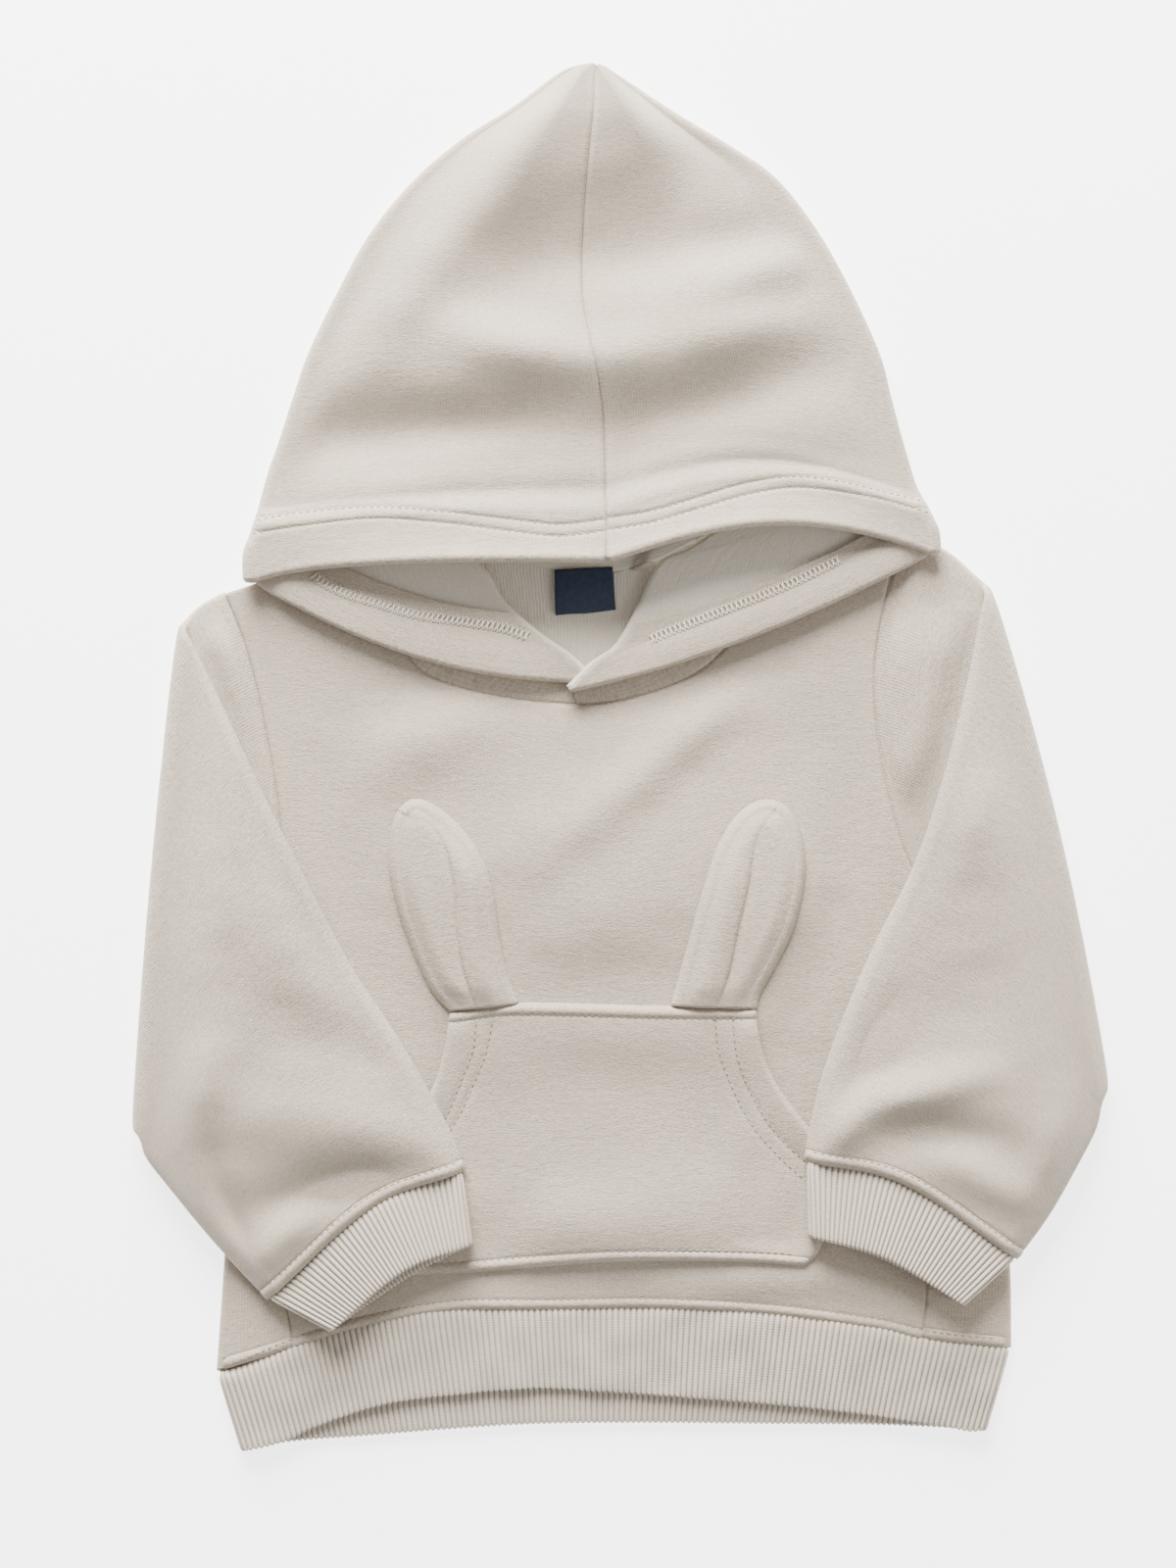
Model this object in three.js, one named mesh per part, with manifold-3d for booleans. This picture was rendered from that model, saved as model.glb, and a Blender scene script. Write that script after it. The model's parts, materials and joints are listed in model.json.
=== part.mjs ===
import * as THREE from 'three';
import Module from 'manifold-3d';

// A baby's hooded sweatshirt, laid out flat on its back on the XY plane.
// +Y points from the hem to the top of the hood, +X to the viewer's right, +Z up off the table.
// Both sleeves are folded forward, so the forearms and cuffs lie on the front of the body.

// Driving dimensions, in millimetres.
const CLOTH = 2;                          // brushed fleece, one layer
const RIB = 2.8;                          // rib band, turned double
const SEAM = 0.3;                         // space between two pieces at a seam or on a face
const AIR = 0.6;                          // air between the two layers of a tube
const STACK = 2 * CLOTH + AIR;            // front and back of the body, lying on each other
const ON_BODY = STACK + SEAM;             // underside of what lies on the front
const ON_POCKET = ON_BODY + CLOTH + SEAM; // underside of the folded sleeves and the cuffs
const BAND_HEIGHT = 2 * RIB + AIR;        // a flattened tube of rib
const LABEL = 1;                          // folded woven label
const EAR = 2.4;                          // two thin layers, turned and stitched together
const SLEEVE_AXIS = (STACK + ON_POCKET) / 2; // height of the line that a sleeve is folded over
const SLEEVE_PUFF = 2.6;                  // how far the folded forearm stands up
const HOOD_LEFT_LOFT = 9;                 // how far the front of the hood stands off its back
const HOOD_RIGHT_LOFT = 10;
const SLIVER = 0.02;                      // detail smaller than this is dropped after a cut

const CREAM = { color: 0xddd9d0, roughness: 0.95, metalness: 0 };
const CREAM_RIB = { color: 0xd2cec4, roughness: 0.97, metalness: 0 };
const NAVY = { color: 0x1b2440, roughness: 0.6, metalness: 0 };

const wasm = await Module();
wasm.setup();

// ---------------------------------------------------------------- small helpers

const lerp = THREE.MathUtils.lerp;
const smooth = (value) => THREE.MathUtils.smoothstep(value, 0, 1);

// The value of one column of a table at a place along another column, straight between its rows.
function look(table, key, place, column) {
  let index = 1;
  while (index < table.length - 1 && table[index][key] < place) index += 1;
  const low = table[index - 1];
  const high = table[index];
  const share = THREE.MathUtils.clamp((place - low[key]) / (high[key] - low[key]), 0, 1);
  return lerp(low[column], high[column], share);
}

// A table written as rows of numbers, with a name for each of its columns.
const rowsOf = (columns, rows) =>
  rows.map((row) => Object.fromEntries(columns.map((column, index) => [column, row[index]])));

const steps = (from, to, count) =>
  Array.from({ length: count + 1 }, (_, index) => lerp(from, to, index / count));

// A closed solid from a grid: place(u, v, face) gives the point on face 0 or face 1 of the cloth.
// A ring closes on itself along u; otherwise both ends of u are walled like the ends of v.
function gridSolid(us, vs, place, ring = false) {
  const positions = [];
  for (const face of [0, 1]) {
    for (const v of vs) {
      for (const u of us) positions.push(...place(u, v, face));
    }
  }
  const across = us.length;
  const along = vs.length;
  const at = (i, j, face) => face * across * along + j * across + (i % across);
  const triangles = [];
  const quad = (a, b, c, d) => triangles.push(a, b, c, a, c, d);
  const spans = ring ? across : across - 1;
  for (let i = 0; i < spans; i += 1) {
    for (let j = 0; j < along - 1; j += 1) {
      quad(at(i, j, 1), at(i + 1, j, 1), at(i + 1, j + 1, 1), at(i, j + 1, 1));
      quad(at(i, j, 0), at(i, j + 1, 0), at(i + 1, j + 1, 0), at(i + 1, j, 0));
    }
    quad(at(i, 0, 0), at(i + 1, 0, 0), at(i + 1, 0, 1), at(i, 0, 1));
    quad(at(i, along - 1, 1), at(i + 1, along - 1, 1), at(i + 1, along - 1, 0), at(i, along - 1, 0));
  }
  for (let j = 0; j < along - 1 && !ring; j += 1) {
    quad(at(0, j, 1), at(0, j + 1, 1), at(0, j + 1, 0), at(0, j, 0));
    const end = across - 1;
    quad(at(end, j, 0), at(end, j + 1, 0), at(end, j + 1, 1), at(end, j, 1));
  }
  return solid(positions, triangles);
}

// A manifold solid from points and triangles, turned so that its faces point out.
function solid(positions, triangles) {
  const vertProperties = new Float32Array(positions);
  const build = (triVerts) =>
    new wasm.Manifold(new wasm.Mesh({ numProp: 3, vertProperties, triVerts: new Uint32Array(triVerts) }));
  const made = build(triangles);
  if (made.volume() > 0) return made;
  const turned = [];
  for (let i = 0; i < triangles.length; i += 3) {
    turned.push(triangles[i], triangles[i + 2], triangles[i + 1]);
  }
  return build(turned);
}

// A flat plate with the outline given as [x, y] points, from one height to another.
function plate(outline, bottom, top) {
  const contour = outline.map(([x, y]) => new THREE.Vector2(x, y));
  if (THREE.ShapeUtils.isClockWise(contour)) contour.reverse();
  const count = contour.length;
  const positions = [];
  for (const height of [bottom, top]) {
    for (const point of contour) positions.push(point.x, point.y, height);
  }
  const triangles = [];
  for (const [a, b, c] of THREE.ShapeUtils.triangulateShape(contour, [])) {
    triangles.push(a + count, b + count, c + count, a, c, b);
  }
  for (let i = 0; i < count; i += 1) {
    const next = (i + 1) % count;
    triangles.push(i, next, next + count, i, next + count, i + count);
  }
  return solid(positions, triangles);
}

// Points along a smooth curve through the given [x, y] points.
function curve(points, pieces) {
  const line = new THREE.SplineCurve(points.map(([x, y]) => new THREE.Vector2(x, y)));
  return line.getPoints(pieces).map((point) => [point.x, point.y]);
}

// A solid grown sideways by a small distance, as copies moved to its four sides.
function grown(body, distance) {
  const moves = [[distance, 0], [-distance, 0], [0, distance], [0, -distance]];
  return moves.reduce((sum, [x, y]) => sum.add(body.translate([x, y, 0])), body);
}

function piece(name, body, look) {
  const mesh = body.getMesh();
  const geometry = new THREE.BufferGeometry();
  geometry.setAttribute('position', new THREE.BufferAttribute(new Float32Array(mesh.vertProperties), 3));
  geometry.setIndex(new THREE.BufferAttribute(new Uint32Array(mesh.triVerts), 1));
  const placed = new THREE.Mesh(geometry, new THREE.MeshStandardMaterial(look));
  placed.name = name;
  return placed;
}

// ---------------------------------------------------------------- outlines shared by pieces

// Armhole seams from the shoulder to the armpit.
const ARMHOLE = {
  left: curve([[-150, 62], [-141.5, 40], [-134, 8], [-129, -25], [-128.5, -52], [-139, -97]], 14),
  right: curve([[107.6, 84], [101, 57], [97.6, 30], [100, 0], [107, -30], [118, -55], [132.8, -80]], 14),
};
const NECK_POINT = { left: [-73, 88], right: [48, 92] };
const FRONT_NECK = curve([NECK_POINT.left, [-84, 60], [-79, 36.4], [-59, 25.9], [-25, 20.2],
  [3.4, 21.8], [34, 35], [50, 60], NECK_POINT.right], 24);
const BACK_NECK = curve([NECK_POINT.left, [-50, 78.6], [-28, 71.8], [-8, 69.5], [8, 73], [26, 81.8],
  NECK_POINT.right], 14);

// Where the two side folds and the two side seams run, from the armpit to the hem.
const SIDES = rowsOf(['part', 'leftFold', 'leftSeam', 'rightFold', 'rightSeam', 'leftY', 'rightY'], [
  [0, -143, -139, 136.8, 132.8, -102, -85],
  [0.4, -147.4, -133, 143, 125, -150, -137],
  [0.75, -150.5, -128, 148.8, 119, -200, -190],
  [1, -153, -124, 149.6, 116, -236, -226.5],
]);

// The hem band across its width: its seam and its free end, on the front and on the back.
const HEM = [
  { across: 0, frontSeam: -236, backSeam: -236, frontEnd: -264.8, backEnd: -264.8 },
  { across: 0.09, frontSeam: -229, backSeam: -234, frontEnd: -261, backEnd: -261.4 },
  { across: 0.19, frontSeam: -219, backSeam: -231, frontEnd: -251, backEnd: -259.1 },
  { across: 0.3, frontSeam: -212, backSeam: -228, frontEnd: -243.6, backEnd: -256.5 },
  { across: 0.42, frontSeam: -210.8, backSeam: -226, frontEnd: -241, backEnd: -254.6 },
  { across: 0.55, frontSeam: -210.6, backSeam: -225.6, frontEnd: -242.4, backEnd: -254.2 },
  { across: 0.7, frontSeam: -212.6, backSeam: -226, frontEnd: -246.4, backEnd: -254.6 },
  { across: 0.84, frontSeam: -218.6, backSeam: -226.5, frontEnd: -251.4, backEnd: -255 },
  { across: 0.93, frontSeam: -223.4, backSeam: -226.8, frontEnd: -255.6, backEnd: -256.3 },
  { across: 1, frontSeam: -226.5, backSeam: -226.5, frontEnd: -256, backEnd: -256 },
];
const HEM_LEFT = { seam: -153, end: -144 };
const HEM_RIGHT = { seam: 149.6, end: 140.5 };

const hemY = (x, column) =>
  look(HEM, 'across', (x - HEM_LEFT.seam) / (HEM_RIGHT.seam - HEM_LEFT.seam), column);

// ---------------------------------------------------------------- body panels

const shifted = (points, distance) => points.map(([x, y]) => [x + distance, y]);
const SIDE_STEPS = steps(0, 1, 8);

// A side seam's place at a share of its length from the armpit down.
function sideSeam(side, share) {
  const x = look(SIDES, 'part', share, `${side}Seam`);
  return [x, lerp(SIDES[0][`${side}Y`], hemY(x, 'frontSeam') + SEAM / 2, share)];
}

// The outline of the front: neck, right armhole, right side seam, hem, left side seam, left armhole.
function frontOutline() {
  const gap = SEAM / 2;
  const hem = steps(0, 1, 12).map((share) => {
    const x = lerp(SIDES.at(-1).rightSeam - gap, SIDES.at(-1).leftSeam + gap, share);
    return [x, hemY(x, 'frontSeam') + SEAM];
  });
  const sideEdge = (side, distance) =>
    shifted(SIDE_STEPS.slice(1, -1).map((share) => sideSeam(side, share)), distance);
  return [
    ...FRONT_NECK.slice(1, -1).map(([x, y]) => [x, y - gap]),
    NECK_POINT.right.map((value) => value - gap),
    ...shifted(ARMHOLE.right, -gap),
    ...sideEdge('right', -gap),
    ...hem,
    ...sideEdge('left', gap).reverse(),
    ...shifted(ARMHOLE.left, gap).reverse(),
    [NECK_POINT.left[0], NECK_POINT.left[1] - gap],
  ];
}

// The flat part of the back, up to its side folds, with the back neckline.
function backOutline() {
  const gap = SEAM / 2;
  const inset = STACK / 2;
  const hem = steps(0, 1, 12).map((share) => {
    const x = lerp(HEM_RIGHT.seam - inset, HEM_LEFT.seam + inset, share);
    return [x, hemY(x, 'backSeam') + gap];
  });
  return [
    ...BACK_NECK.map(([x, y]) => [x, y - gap]),
    ...shifted(ARMHOLE.right, -gap).slice(0, -1),
    ...SIDES.slice(0, -1).map((row) => [row.rightFold - inset, row.rightY]),
    ...hem,
    ...SIDES.slice(0, -1).reverse().map((row) => [row.leftFold + inset, row.leftY]),
    ...shifted(ARMHOLE.left, gap).slice(0, -1).reverse(),
  ];
}

// The strip of the back that comes round a side fold to the side seam on the front.
function sideWrap(side) {
  const inward = side === 'left' ? 1 : -1;
  const radius = STACK / 2;
  const overlap = 6;
  const place = (u, v, face) => {
    const fold = look(SIDES, 'part', v, `${side}Fold`);
    const seam = look(SIDES, 'part', v, `${side}Seam`);
    const r = radius - (face ? 0 : CLOTH);
    const turn = THREE.MathUtils.clamp(u, 0, 1) * Math.PI;
    let x = fold + inward * (radius - r * Math.sin(turn));
    if (u < 0) x = fold + inward * (radius - u * overlap);
    if (u > 1) x = lerp(fold + inward * radius, seam - inward * SEAM / 2, u - 1);
    const top = look(SIDES, 'part', 0, `${side}Y`);
    const front = hemY(x, 'frontSeam') + SEAM / 2;
    const back = hemY(x, 'backSeam') + SEAM / 2;
    const bottom = lerp(back, front, turn / Math.PI);
    return [x, lerp(top, bottom, v), radius - r * Math.cos(turn)];
  };
  return gridSolid([-1, 0, 0.25, 0.5, 0.75, 1, 1.5, 2], SIDE_STEPS, place);
}

function backPanel() {
  const flat = plate(backOutline(), 0, CLOTH);
  return flat.add(sideWrap('left')).add(sideWrap('right'));
}

// ---------------------------------------------------------------- flattened tubes of rib

// A ring round a flattened tube: plan(share, front, v) gives its [x, y] at a share of its width,
// where front is 1 on the upper layer and 0 on the lower one.
function flatTube({ width, height, wall, floor, plan, across, along }) {
  const bends = steps(-0.5, 0.5, 4).map((turn) => turn * Math.PI);
  const ring = [];
  for (const share of steps(0, 1, across).slice(1, -1)) ring.push({ share, side: 1 });
  for (const bend of [...bends].reverse()) ring.push({ bend, side: 1, end: true });
  for (const share of steps(1, 0, across).slice(1, -1)) ring.push({ share, side: -1 });
  for (const bend of bends) ring.push({ bend, side: -1, end: true });
  const place = (index, v, face) => {
    const spot = ring[index];
    const long = width(v);
    const radius = height / 2;
    const r = radius - (face ? 0 : wall);
    let x = lerp(radius, long - radius, spot.share ?? 0);
    let z = radius + spot.side * r;
    if (spot.end) {
      x = spot.side > 0 ? long - radius + r * Math.cos(spot.bend) : radius - r * Math.cos(spot.bend);
      z = radius + r * Math.sin(spot.bend);
    }
    const front = (z - radius) / (2 * r) + 0.5;
    return [...plan(x / long, front, v), floor + z];
  };
  return gridSolid(ring.map((_, index) => index), along, place, true);
}

function hemBand() {
  const left = (v) => lerp(HEM_LEFT.seam, HEM_LEFT.end, v);
  const right = (v) => lerp(HEM_RIGHT.seam, HEM_RIGHT.end, v);
  const plan = (share, front, v) => {
    const level = (column) => look(HEM, 'across', share, column);
    const seam = lerp(level('backSeam'), level('frontSeam'), front);
    const end = lerp(level('backEnd'), level('frontEnd'), front);
    return [lerp(left(v), right(v), share), lerp(seam - SEAM / 2, end, v)];
  };
  return flatTube({
    width: (v) => right(v) - left(v), height: BAND_HEIGHT, wall: RIB, floor: 0, plan,
    across: 20, along: [0, 0.5, 1],
  });
}

// Cuffs: the seam edge and the free edge, each from the inner to the outer end of the wrist.
const CUFFS = {
  left: {
    seam: [[-58.8, -157.6], [-94, -171.6], [-132.6, -206.2]],
    end: [[-56, -184.6], [-82, -194.6], [-109, -217.2]],
  },
  right: {
    seam: [[71, -153.8], [108, -162.4], [150.6, -191]],
    end: [[72.6, -181.4], [101, -189.4], [130.8, -207.2]],
  },
};

// A place along a shallow arc through three points.
function arcPlace([start, middle, end], share) {
  const bow = 4 * share * (1 - share);
  return [0, 1].map((axis) => {
    const straight = lerp(start[axis], end[axis], share);
    return straight + bow * (middle[axis] - (start[axis] + end[axis]) / 2);
  });
}

function cuff(side) {
  const { seam, end } = CUFFS[side];
  const plan = (share, front, v) => {
    const from = arcPlace(seam, share);
    const to = arcPlace(end, share);
    return [lerp(from[0], to[0], v), lerp(from[1], to[1], v)];
  };
  const span = ([start, , stop]) => Math.hypot(stop[0] - start[0], stop[1] - start[1]);
  return flatTube({
    width: (v) => lerp(span(seam), span(end), v), height: BAND_HEIGHT, wall: RIB, floor: ON_POCKET,
    plan, across: 8, along: [0, 0.5, 1],
  });
}

// ---------------------------------------------------------------- sleeves

// Each sleeve is a flattened tube, folded over a line from the shoulder (start) to its end.
// over: the edge that runs down from the shoulder to the cuff, now lying on the body.
// under: the edge from the end of the fold to the cuff, where the cuff seam begins.
// below: the lower layers, which run in to the armhole: shoulder edge and underarm edge.
const SLEEVES = {
  left: {
    start: [-167.2, 49.5], end: [-183.8, -138], bulge: 1.5,
    over: [[-160, 46], [-148, 14], [-129, -27], [-104, -77], [-84, -108], [-66, -140], [-58.6, -157]],
    under: [[-171, -161], [-154, -182], [-133, -205.6]],
    shoulder: [[-167.2, 49.5], [-152, 61.5], [-120, 73]],
    armpit: [[-183.8, -138], [-139, -97], [-106, -66]],
  },
  right: {
    start: [141.4, 64.5], end: [184.9, -121.5], bulge: 4,
    over: [[137.4, 56], [131, 26], [121.5, -12], [112.4, -42], [94.5, -79], [78.5, -120], [70.8, -152.8]],
    under: [[176.2, -151], [163, -173], [151.2, -190.2]],
    shoulder: [[141.4, 64.5], [124.5, 78], [100, 86]],
    armpit: [[184.9, -121.5], [132.8, -80], [104, -57]],
  },
};

// The frame of a sleeve's fold: places as a depth in from the fold and a run along it.
function foldFrame(sleeve) {
  const start = new THREE.Vector2(...sleeve.start);
  const along = new THREE.Vector2(...sleeve.end).sub(start);
  const length = along.length();
  along.normalize();
  const outward = new THREE.Vector2(-along.y, along.x);
  if (outward.x * start.x < 0) outward.negate();
  start.addScaledVector(outward, -SLEEVE_AXIS);
  const table = (points) => points.map(([x, y]) => {
    const offset = new THREE.Vector2(x, y).sub(start);
    return { depth: -offset.dot(outward), run: offset.dot(along) };
  });
  const swell = (depth, run) => {
    const share = THREE.MathUtils.clamp(run / length, 0, 1);
    return sleeve.bulge * Math.sin(share * Math.PI) * Math.max(0, 1 - Math.abs(depth) / 45);
  };
  const plan = (depth, run) => {
    const point = start.clone().addScaledVector(along, run);
    return point.addScaledVector(outward, swell(depth, run) - depth);
  };
  return { table, plan };
}

// One folded slab between two heights of the flat sleeve, from its cloth's outside in by inset.
function foldedSlab(side, bottom, top, inset) {
  const sleeve = SLEEVES[side];
  const { table, plan } = foldFrame(sleeve);
  const edge = (points) => [{ depth: 0, run: table([points[0]])[0].run }, ...table(points).slice(1)];
  const shoulder = edge(sleeve.shoulder);
  const armpit = edge(sleeve.armpit);
  const over = [{ depth: 0, run: shoulder[0].run }, ...table(sleeve.over)];
  const under = [{ depth: 0, run: armpit[0].run }, ...table(sleeve.under)];
  const seam = steps(1, 0, 8).map((share) => arcPlace(CUFFS[side].seam, share));
  const wrist = table(seam.map(([x, y]) => [x, y + 2 * SEAM]));
  const corner = under.at(-1).depth;
  const tip = over.at(-1).depth;
  const openEnd = inset > 0 ? inset : 0;
  const lower = [60, 48, 36, 24, 12, 4].map((depth) => ({
    depth, turn: 0, from: look(shoulder, 'depth', depth, 'run'), to: look(armpit, 'depth', depth, 'run'),
  }));
  const bends = steps(0, 1, 5).map((share) => ({
    depth: 0, turn: share * Math.PI, from: shoulder[0].run, to: armpit[0].run,
  }));
  const depths = [4, 14, 24, 34, corner - 0.2, corner, 62, 76, 90, 104, tip - 4];
  const upper = depths.map((depth) => {
    const open = depth >= corner;
    return {
      depth, turn: Math.PI, from: look(over, 'depth', depth, 'run'),
      to: open ? look(wrist, 'depth', depth, 'run') : look(under, 'depth', depth, 'run'), open,
    };
  });
  const rows = [...lower, ...bends, ...upper];
  const last = rows.at(-1);
  rows.push({ depth: tip - (inset > 0 ? inset : 0.4), turn: Math.PI, open: true,
    from: lerp(last.from, wrist.at(-1).run, 0.86), to: wrist.at(-1).run - 0.4 });
  const place = (share, index, face) => {
    const row = rows[index];
    const height = face ? top : bottom;
    const arm = SLEEVE_AXIS - height;
    const from = row.from + inset;
    const to = row.open ? row.to + openEnd : row.to - inset;
    const run = lerp(from, Math.max(to, from + 0.5), share);
    const depth = row.depth - arm * Math.sin(row.turn);
    const point = plan(depth, run);
    const rise = smooth(row.turn / Math.PI) * smooth(row.depth / 40) * smooth((tip - row.depth) / 50);
    const puff = height < STACK / 2 ? SLEEVE_PUFF * rise * Math.sin(share * Math.PI) : 0;
    return [point.x, point.y, SLEEVE_AXIS - arm * Math.cos(row.turn) + puff];
  };
  return gridSolid(steps(0, 1, 8), rows.map((_, index) => index), place);
}

// A block over everything on the body's side of an armhole, as high as the two body layers.
function bodySide(side) {
  const gap = side === 'left' ? -SEAM : SEAM;
  const line = shifted(ARMHOLE[side], gap);
  const middle = 0;
  const [shoulderX] = line[0];
  const reach = 30;
  const [armpitX, armpitY] = line.at(-1);
  const outline = [[middle, reach * 4], [shoulderX, reach * 4], ...line,
    [armpitX, armpitY - reach * 2], [middle, armpitY - reach * 2]];
  return plate(outline, -1, STACK + SEAM / 2);
}

function sleeve(side) {
  const outside = foldedSlab(side, 0, STACK, 0);
  const inside = foldedSlab(side, CLOTH, CLOTH + AIR, CLOTH);
  return outside.subtract(inside).subtract(bodySide(side)).simplify(SLIVER);
}

// ---------------------------------------------------------------- hood

// The hood, row by row from its face edge to its top. Each row starts at the middle seam on the
// front (frontX, frontY), runs to the side fold (sideX, sideY), turns under and comes back to its
// inner end (endX, endY): first the roll beside the neck, then the neckline, then the middle seam
// at the back. crest bows the row up on the front and sag bows it on the back; loft is the share of
// the hood's height.
const HOOD_COLUMNS = ['frontX', 'frontY', 'sideX', 'sideY', 'endX', 'endY', 'crest', 'sag', 'loft'];
const HOOD_LEFT = rowsOf(HOOD_COLUMNS, [
  [-4.6, 73.2, -144.9, 70.3, -16, 30, 2, -11, 0.8],
  [-4.5, 80, -143.2, 76.5, -21, 41, 2, -10, 0.85],
  [-4.6, 88, -140.3, 84, -33, 48, 2, -8, 0.9],
  [-5, 97, -138.3, 90.5, -44, 59, 2, -6, 0.95],
  [-5.2, 106, -136.5, 97.5, -51, 70.5, 1.5, -4, 1],
  [-5.3, 113, -134.8, 104, -62, 79.5, 1, -2, 1],
  [-5.6, 120, -133, 110, -72, 88.3, 0, -1, 1],
  [-6.2, 130, -129.5, 120, -50, 79.4, 0, 0, 1],
  [-8, 143, -124.5, 135.5, -28, 72.6, 0, 0, 0.95],
  [-10.8, 156, -118.1, 154.1, -8, 70.4, 0, 0, 0.9],
  [-13.6, 172, -106.1, 178.9, -8, 105, 0, 0, 0.9],
  [-14, 190, -95.2, 198.4, -8, 145, 0, 0, 0.85],
  [-13, 210, -79.5, 217.9, -8, 185, 0, 0, 0.8],
  [-11.3, 228, -61.5, 233.6, -8, 215, 0, 0, 0.65],
  [-9.6, 243, -40.5, 247.1, -8, 238, 0, 0, 0.4],
  [-9.2, 255, -22.9, 260.2, -8, 254, 0, 0, 0.1],
  [-8.4, 260.8, -15, 263.6, -8, 260.5, 0, 0, 0],
]);
const HOOD_RIGHT = rowsOf(HOOD_COLUMNS, [
  [-4.6, 73.2, 124, 79.2, -22.5, 22, 11, -9, 0.8],
  [-4.5, 80, 122.2, 85, -11, 34.5, 11.5, -7, 0.85],
  [-4.6, 88, 119.4, 91, -0.8, 42, 12, -6, 0.9],
  [-5, 97, 116.6, 97, 5.6, 56, 12, -5, 0.95],
  [-5.2, 106, 113.8, 102.5, 11.2, 71, 11, -3, 1],
  [-5.3, 113, 112.2, 107.5, 28, 79, 10, -2, 1],
  [-5.6, 120, 110.4, 113.5, 47.5, 92.3, 8, -1, 1],
  [-6.2, 130, 108, 122, 26, 82.8, 6, 0, 1],
  [-8, 143, 104, 137, 8, 74, 4, 0, 0.95],
  [-10.8, 156, 99.4, 154.1, -8, 70.4, 2, 0, 0.9],
  [-13.6, 172, 87, 180.8, -8, 105, 0, 0, 0.9],
  [-14, 190, 74.6, 202.1, -8, 145, 0, 0, 0.85],
  [-13, 210, 60.4, 219.8, -8, 185, 0, 0, 0.8],
  [-11.3, 228, 44.6, 231, -8, 215, 0, 0, 0.65],
  [-9.6, 243, 21.4, 245.2, -8, 238, 0, 0, 0.4],
  [-9.2, 255, 2, 258.2, -8, 254, 0, 0, 0.1],
  [-8.4, 260.8, -2.4, 262.4, -8, 260.5, 0, 0, 0],
]);

// The top edge of the body under the hood: shoulders, then the two rolls beside the neck.
const BODY_TOP = [
  { x: -170, y: 52 }, { x: -150, y: 63 }, { x: -112, y: 76 }, { x: -73, y: 89 }, { x: -62, y: 81 },
  { x: -51, y: 72 }, { x: -44, y: 61 }, { x: -34, y: 50 }, { x: -20, y: 43 }, { x: -8, y: 37 },
  { x: 0, y: 44 }, { x: 6, y: 58 }, { x: 12, y: 73 }, { x: 28, y: 81 }, { x: 48, y: 93 },
  { x: 107, y: 86 }, { x: 125, y: 80 }, { x: 141, y: 67 },
];
const RAMP = 12; // over this distance the hood comes down from the body to the table

// The underside of the back of the hood: on the table, or on the body where that lies below.
function hoodSeat(x, y, crossing) {
  const beyond = y - look(BODY_TOP, 'x', x, 'y');
  const onBody = ON_BODY * smooth(1 - (beyond - 2) / RAMP);
  const overLip = crossing ? (CLOTH + SEAM) * smooth((4 - x) / 10) * smooth((60 - y) / 10) : 0;
  return onBody + overLip;
}

const ROLL_ROWS = 7; // rows whose inner end rolls under to the front neckline

function hoodMain(rows, loft, side) {
  const crossing = side === 'right';
  const inward = side === 'left' ? 1 : -1;
  const radius = STACK / 2;
  const seamGap = -inward * SEAM / 2;
  const place = (u, index, face) => {
    const row = rows[index];
    const onFront = u <= 1;
    const onBack = u >= 2;
    const turn = THREE.MathUtils.clamp(u - 1, 0, 1) * Math.PI;
    const rolled = index < ROLL_ROWS;
    const foldX = row.sideX + inward * radius;
    const r = radius - (face ? 0 : CLOTH);
    let x = foldX - inward * r * Math.sin(turn);
    let y = row.sideY;
    if (onFront) {
      x = lerp(row.frontX + seamGap, foldX, u);
      y = lerp(row.frontY, row.sideY, u) + row.crest * Math.sin(u * Math.PI);
    }
    if (onBack) {
      const share = u - 2;
      const end = rolled ? row.endX - inward * radius : row.endX + seamGap;
      x = lerp(foldX, end, share);
      y = lerp(row.sideY, row.endY, share) + row.sag * Math.sin(share * Math.PI) ** 0.8;
    }
    const seat = hoodSeat(x, y, crossing);
    const open = onFront ? loft * row.loft * smooth((1 - u) / 0.8) : 0;
    const z = seat + radius + r * Math.cos(turn) + open;
    return [x, y, z];
  };
  const us = [...steps(0, 1, 8), 1.25, 1.5, 1.75, ...steps(2, 3, 8)];
  return gridSolid(us, rows.map((_, index) => index), place);
}

// The strip that rolls under beside the neck and runs back to the front neckline.
const FLAP = {
  left: [
    { row: 0, neckX: -15.5, neckY: 20 }, { row: 1, neckX: -32, neckY: 20.6 },
    { row: 2, neckX: -52, neckY: 23.6 }, { row: 3, neckX: -68, neckY: 29 },
    { row: 4, neckX: -80, neckY: 37 }, { row: 5, neckX: -85, neckY: 60 },
    { row: 5.7, neckX: -77, neckY: 82 },
  ],
  right: [
    { row: 1, neckX: -12, neckY: 20.4 }, { row: 2, neckX: 13, neckY: 23.6 },
    { row: 3, neckX: 25, neckY: 28.6 }, { row: 4, neckX: 35, neckY: 35 },
    { row: 5, neckX: 51, neckY: 60 }, { row: 5.7, neckX: 50.6, neckY: 84 },
  ],
};

// A row at a place between two rows of the hood, for its inner end.
function rowBetween(rows, place) {
  const low = rows[Math.floor(place)];
  const high = rows[Math.ceil(place)];
  const share = place - Math.floor(place);
  return { endX: lerp(low.endX, high.endX, share), endY: lerp(low.endY, high.endY, share) };
}

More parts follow.
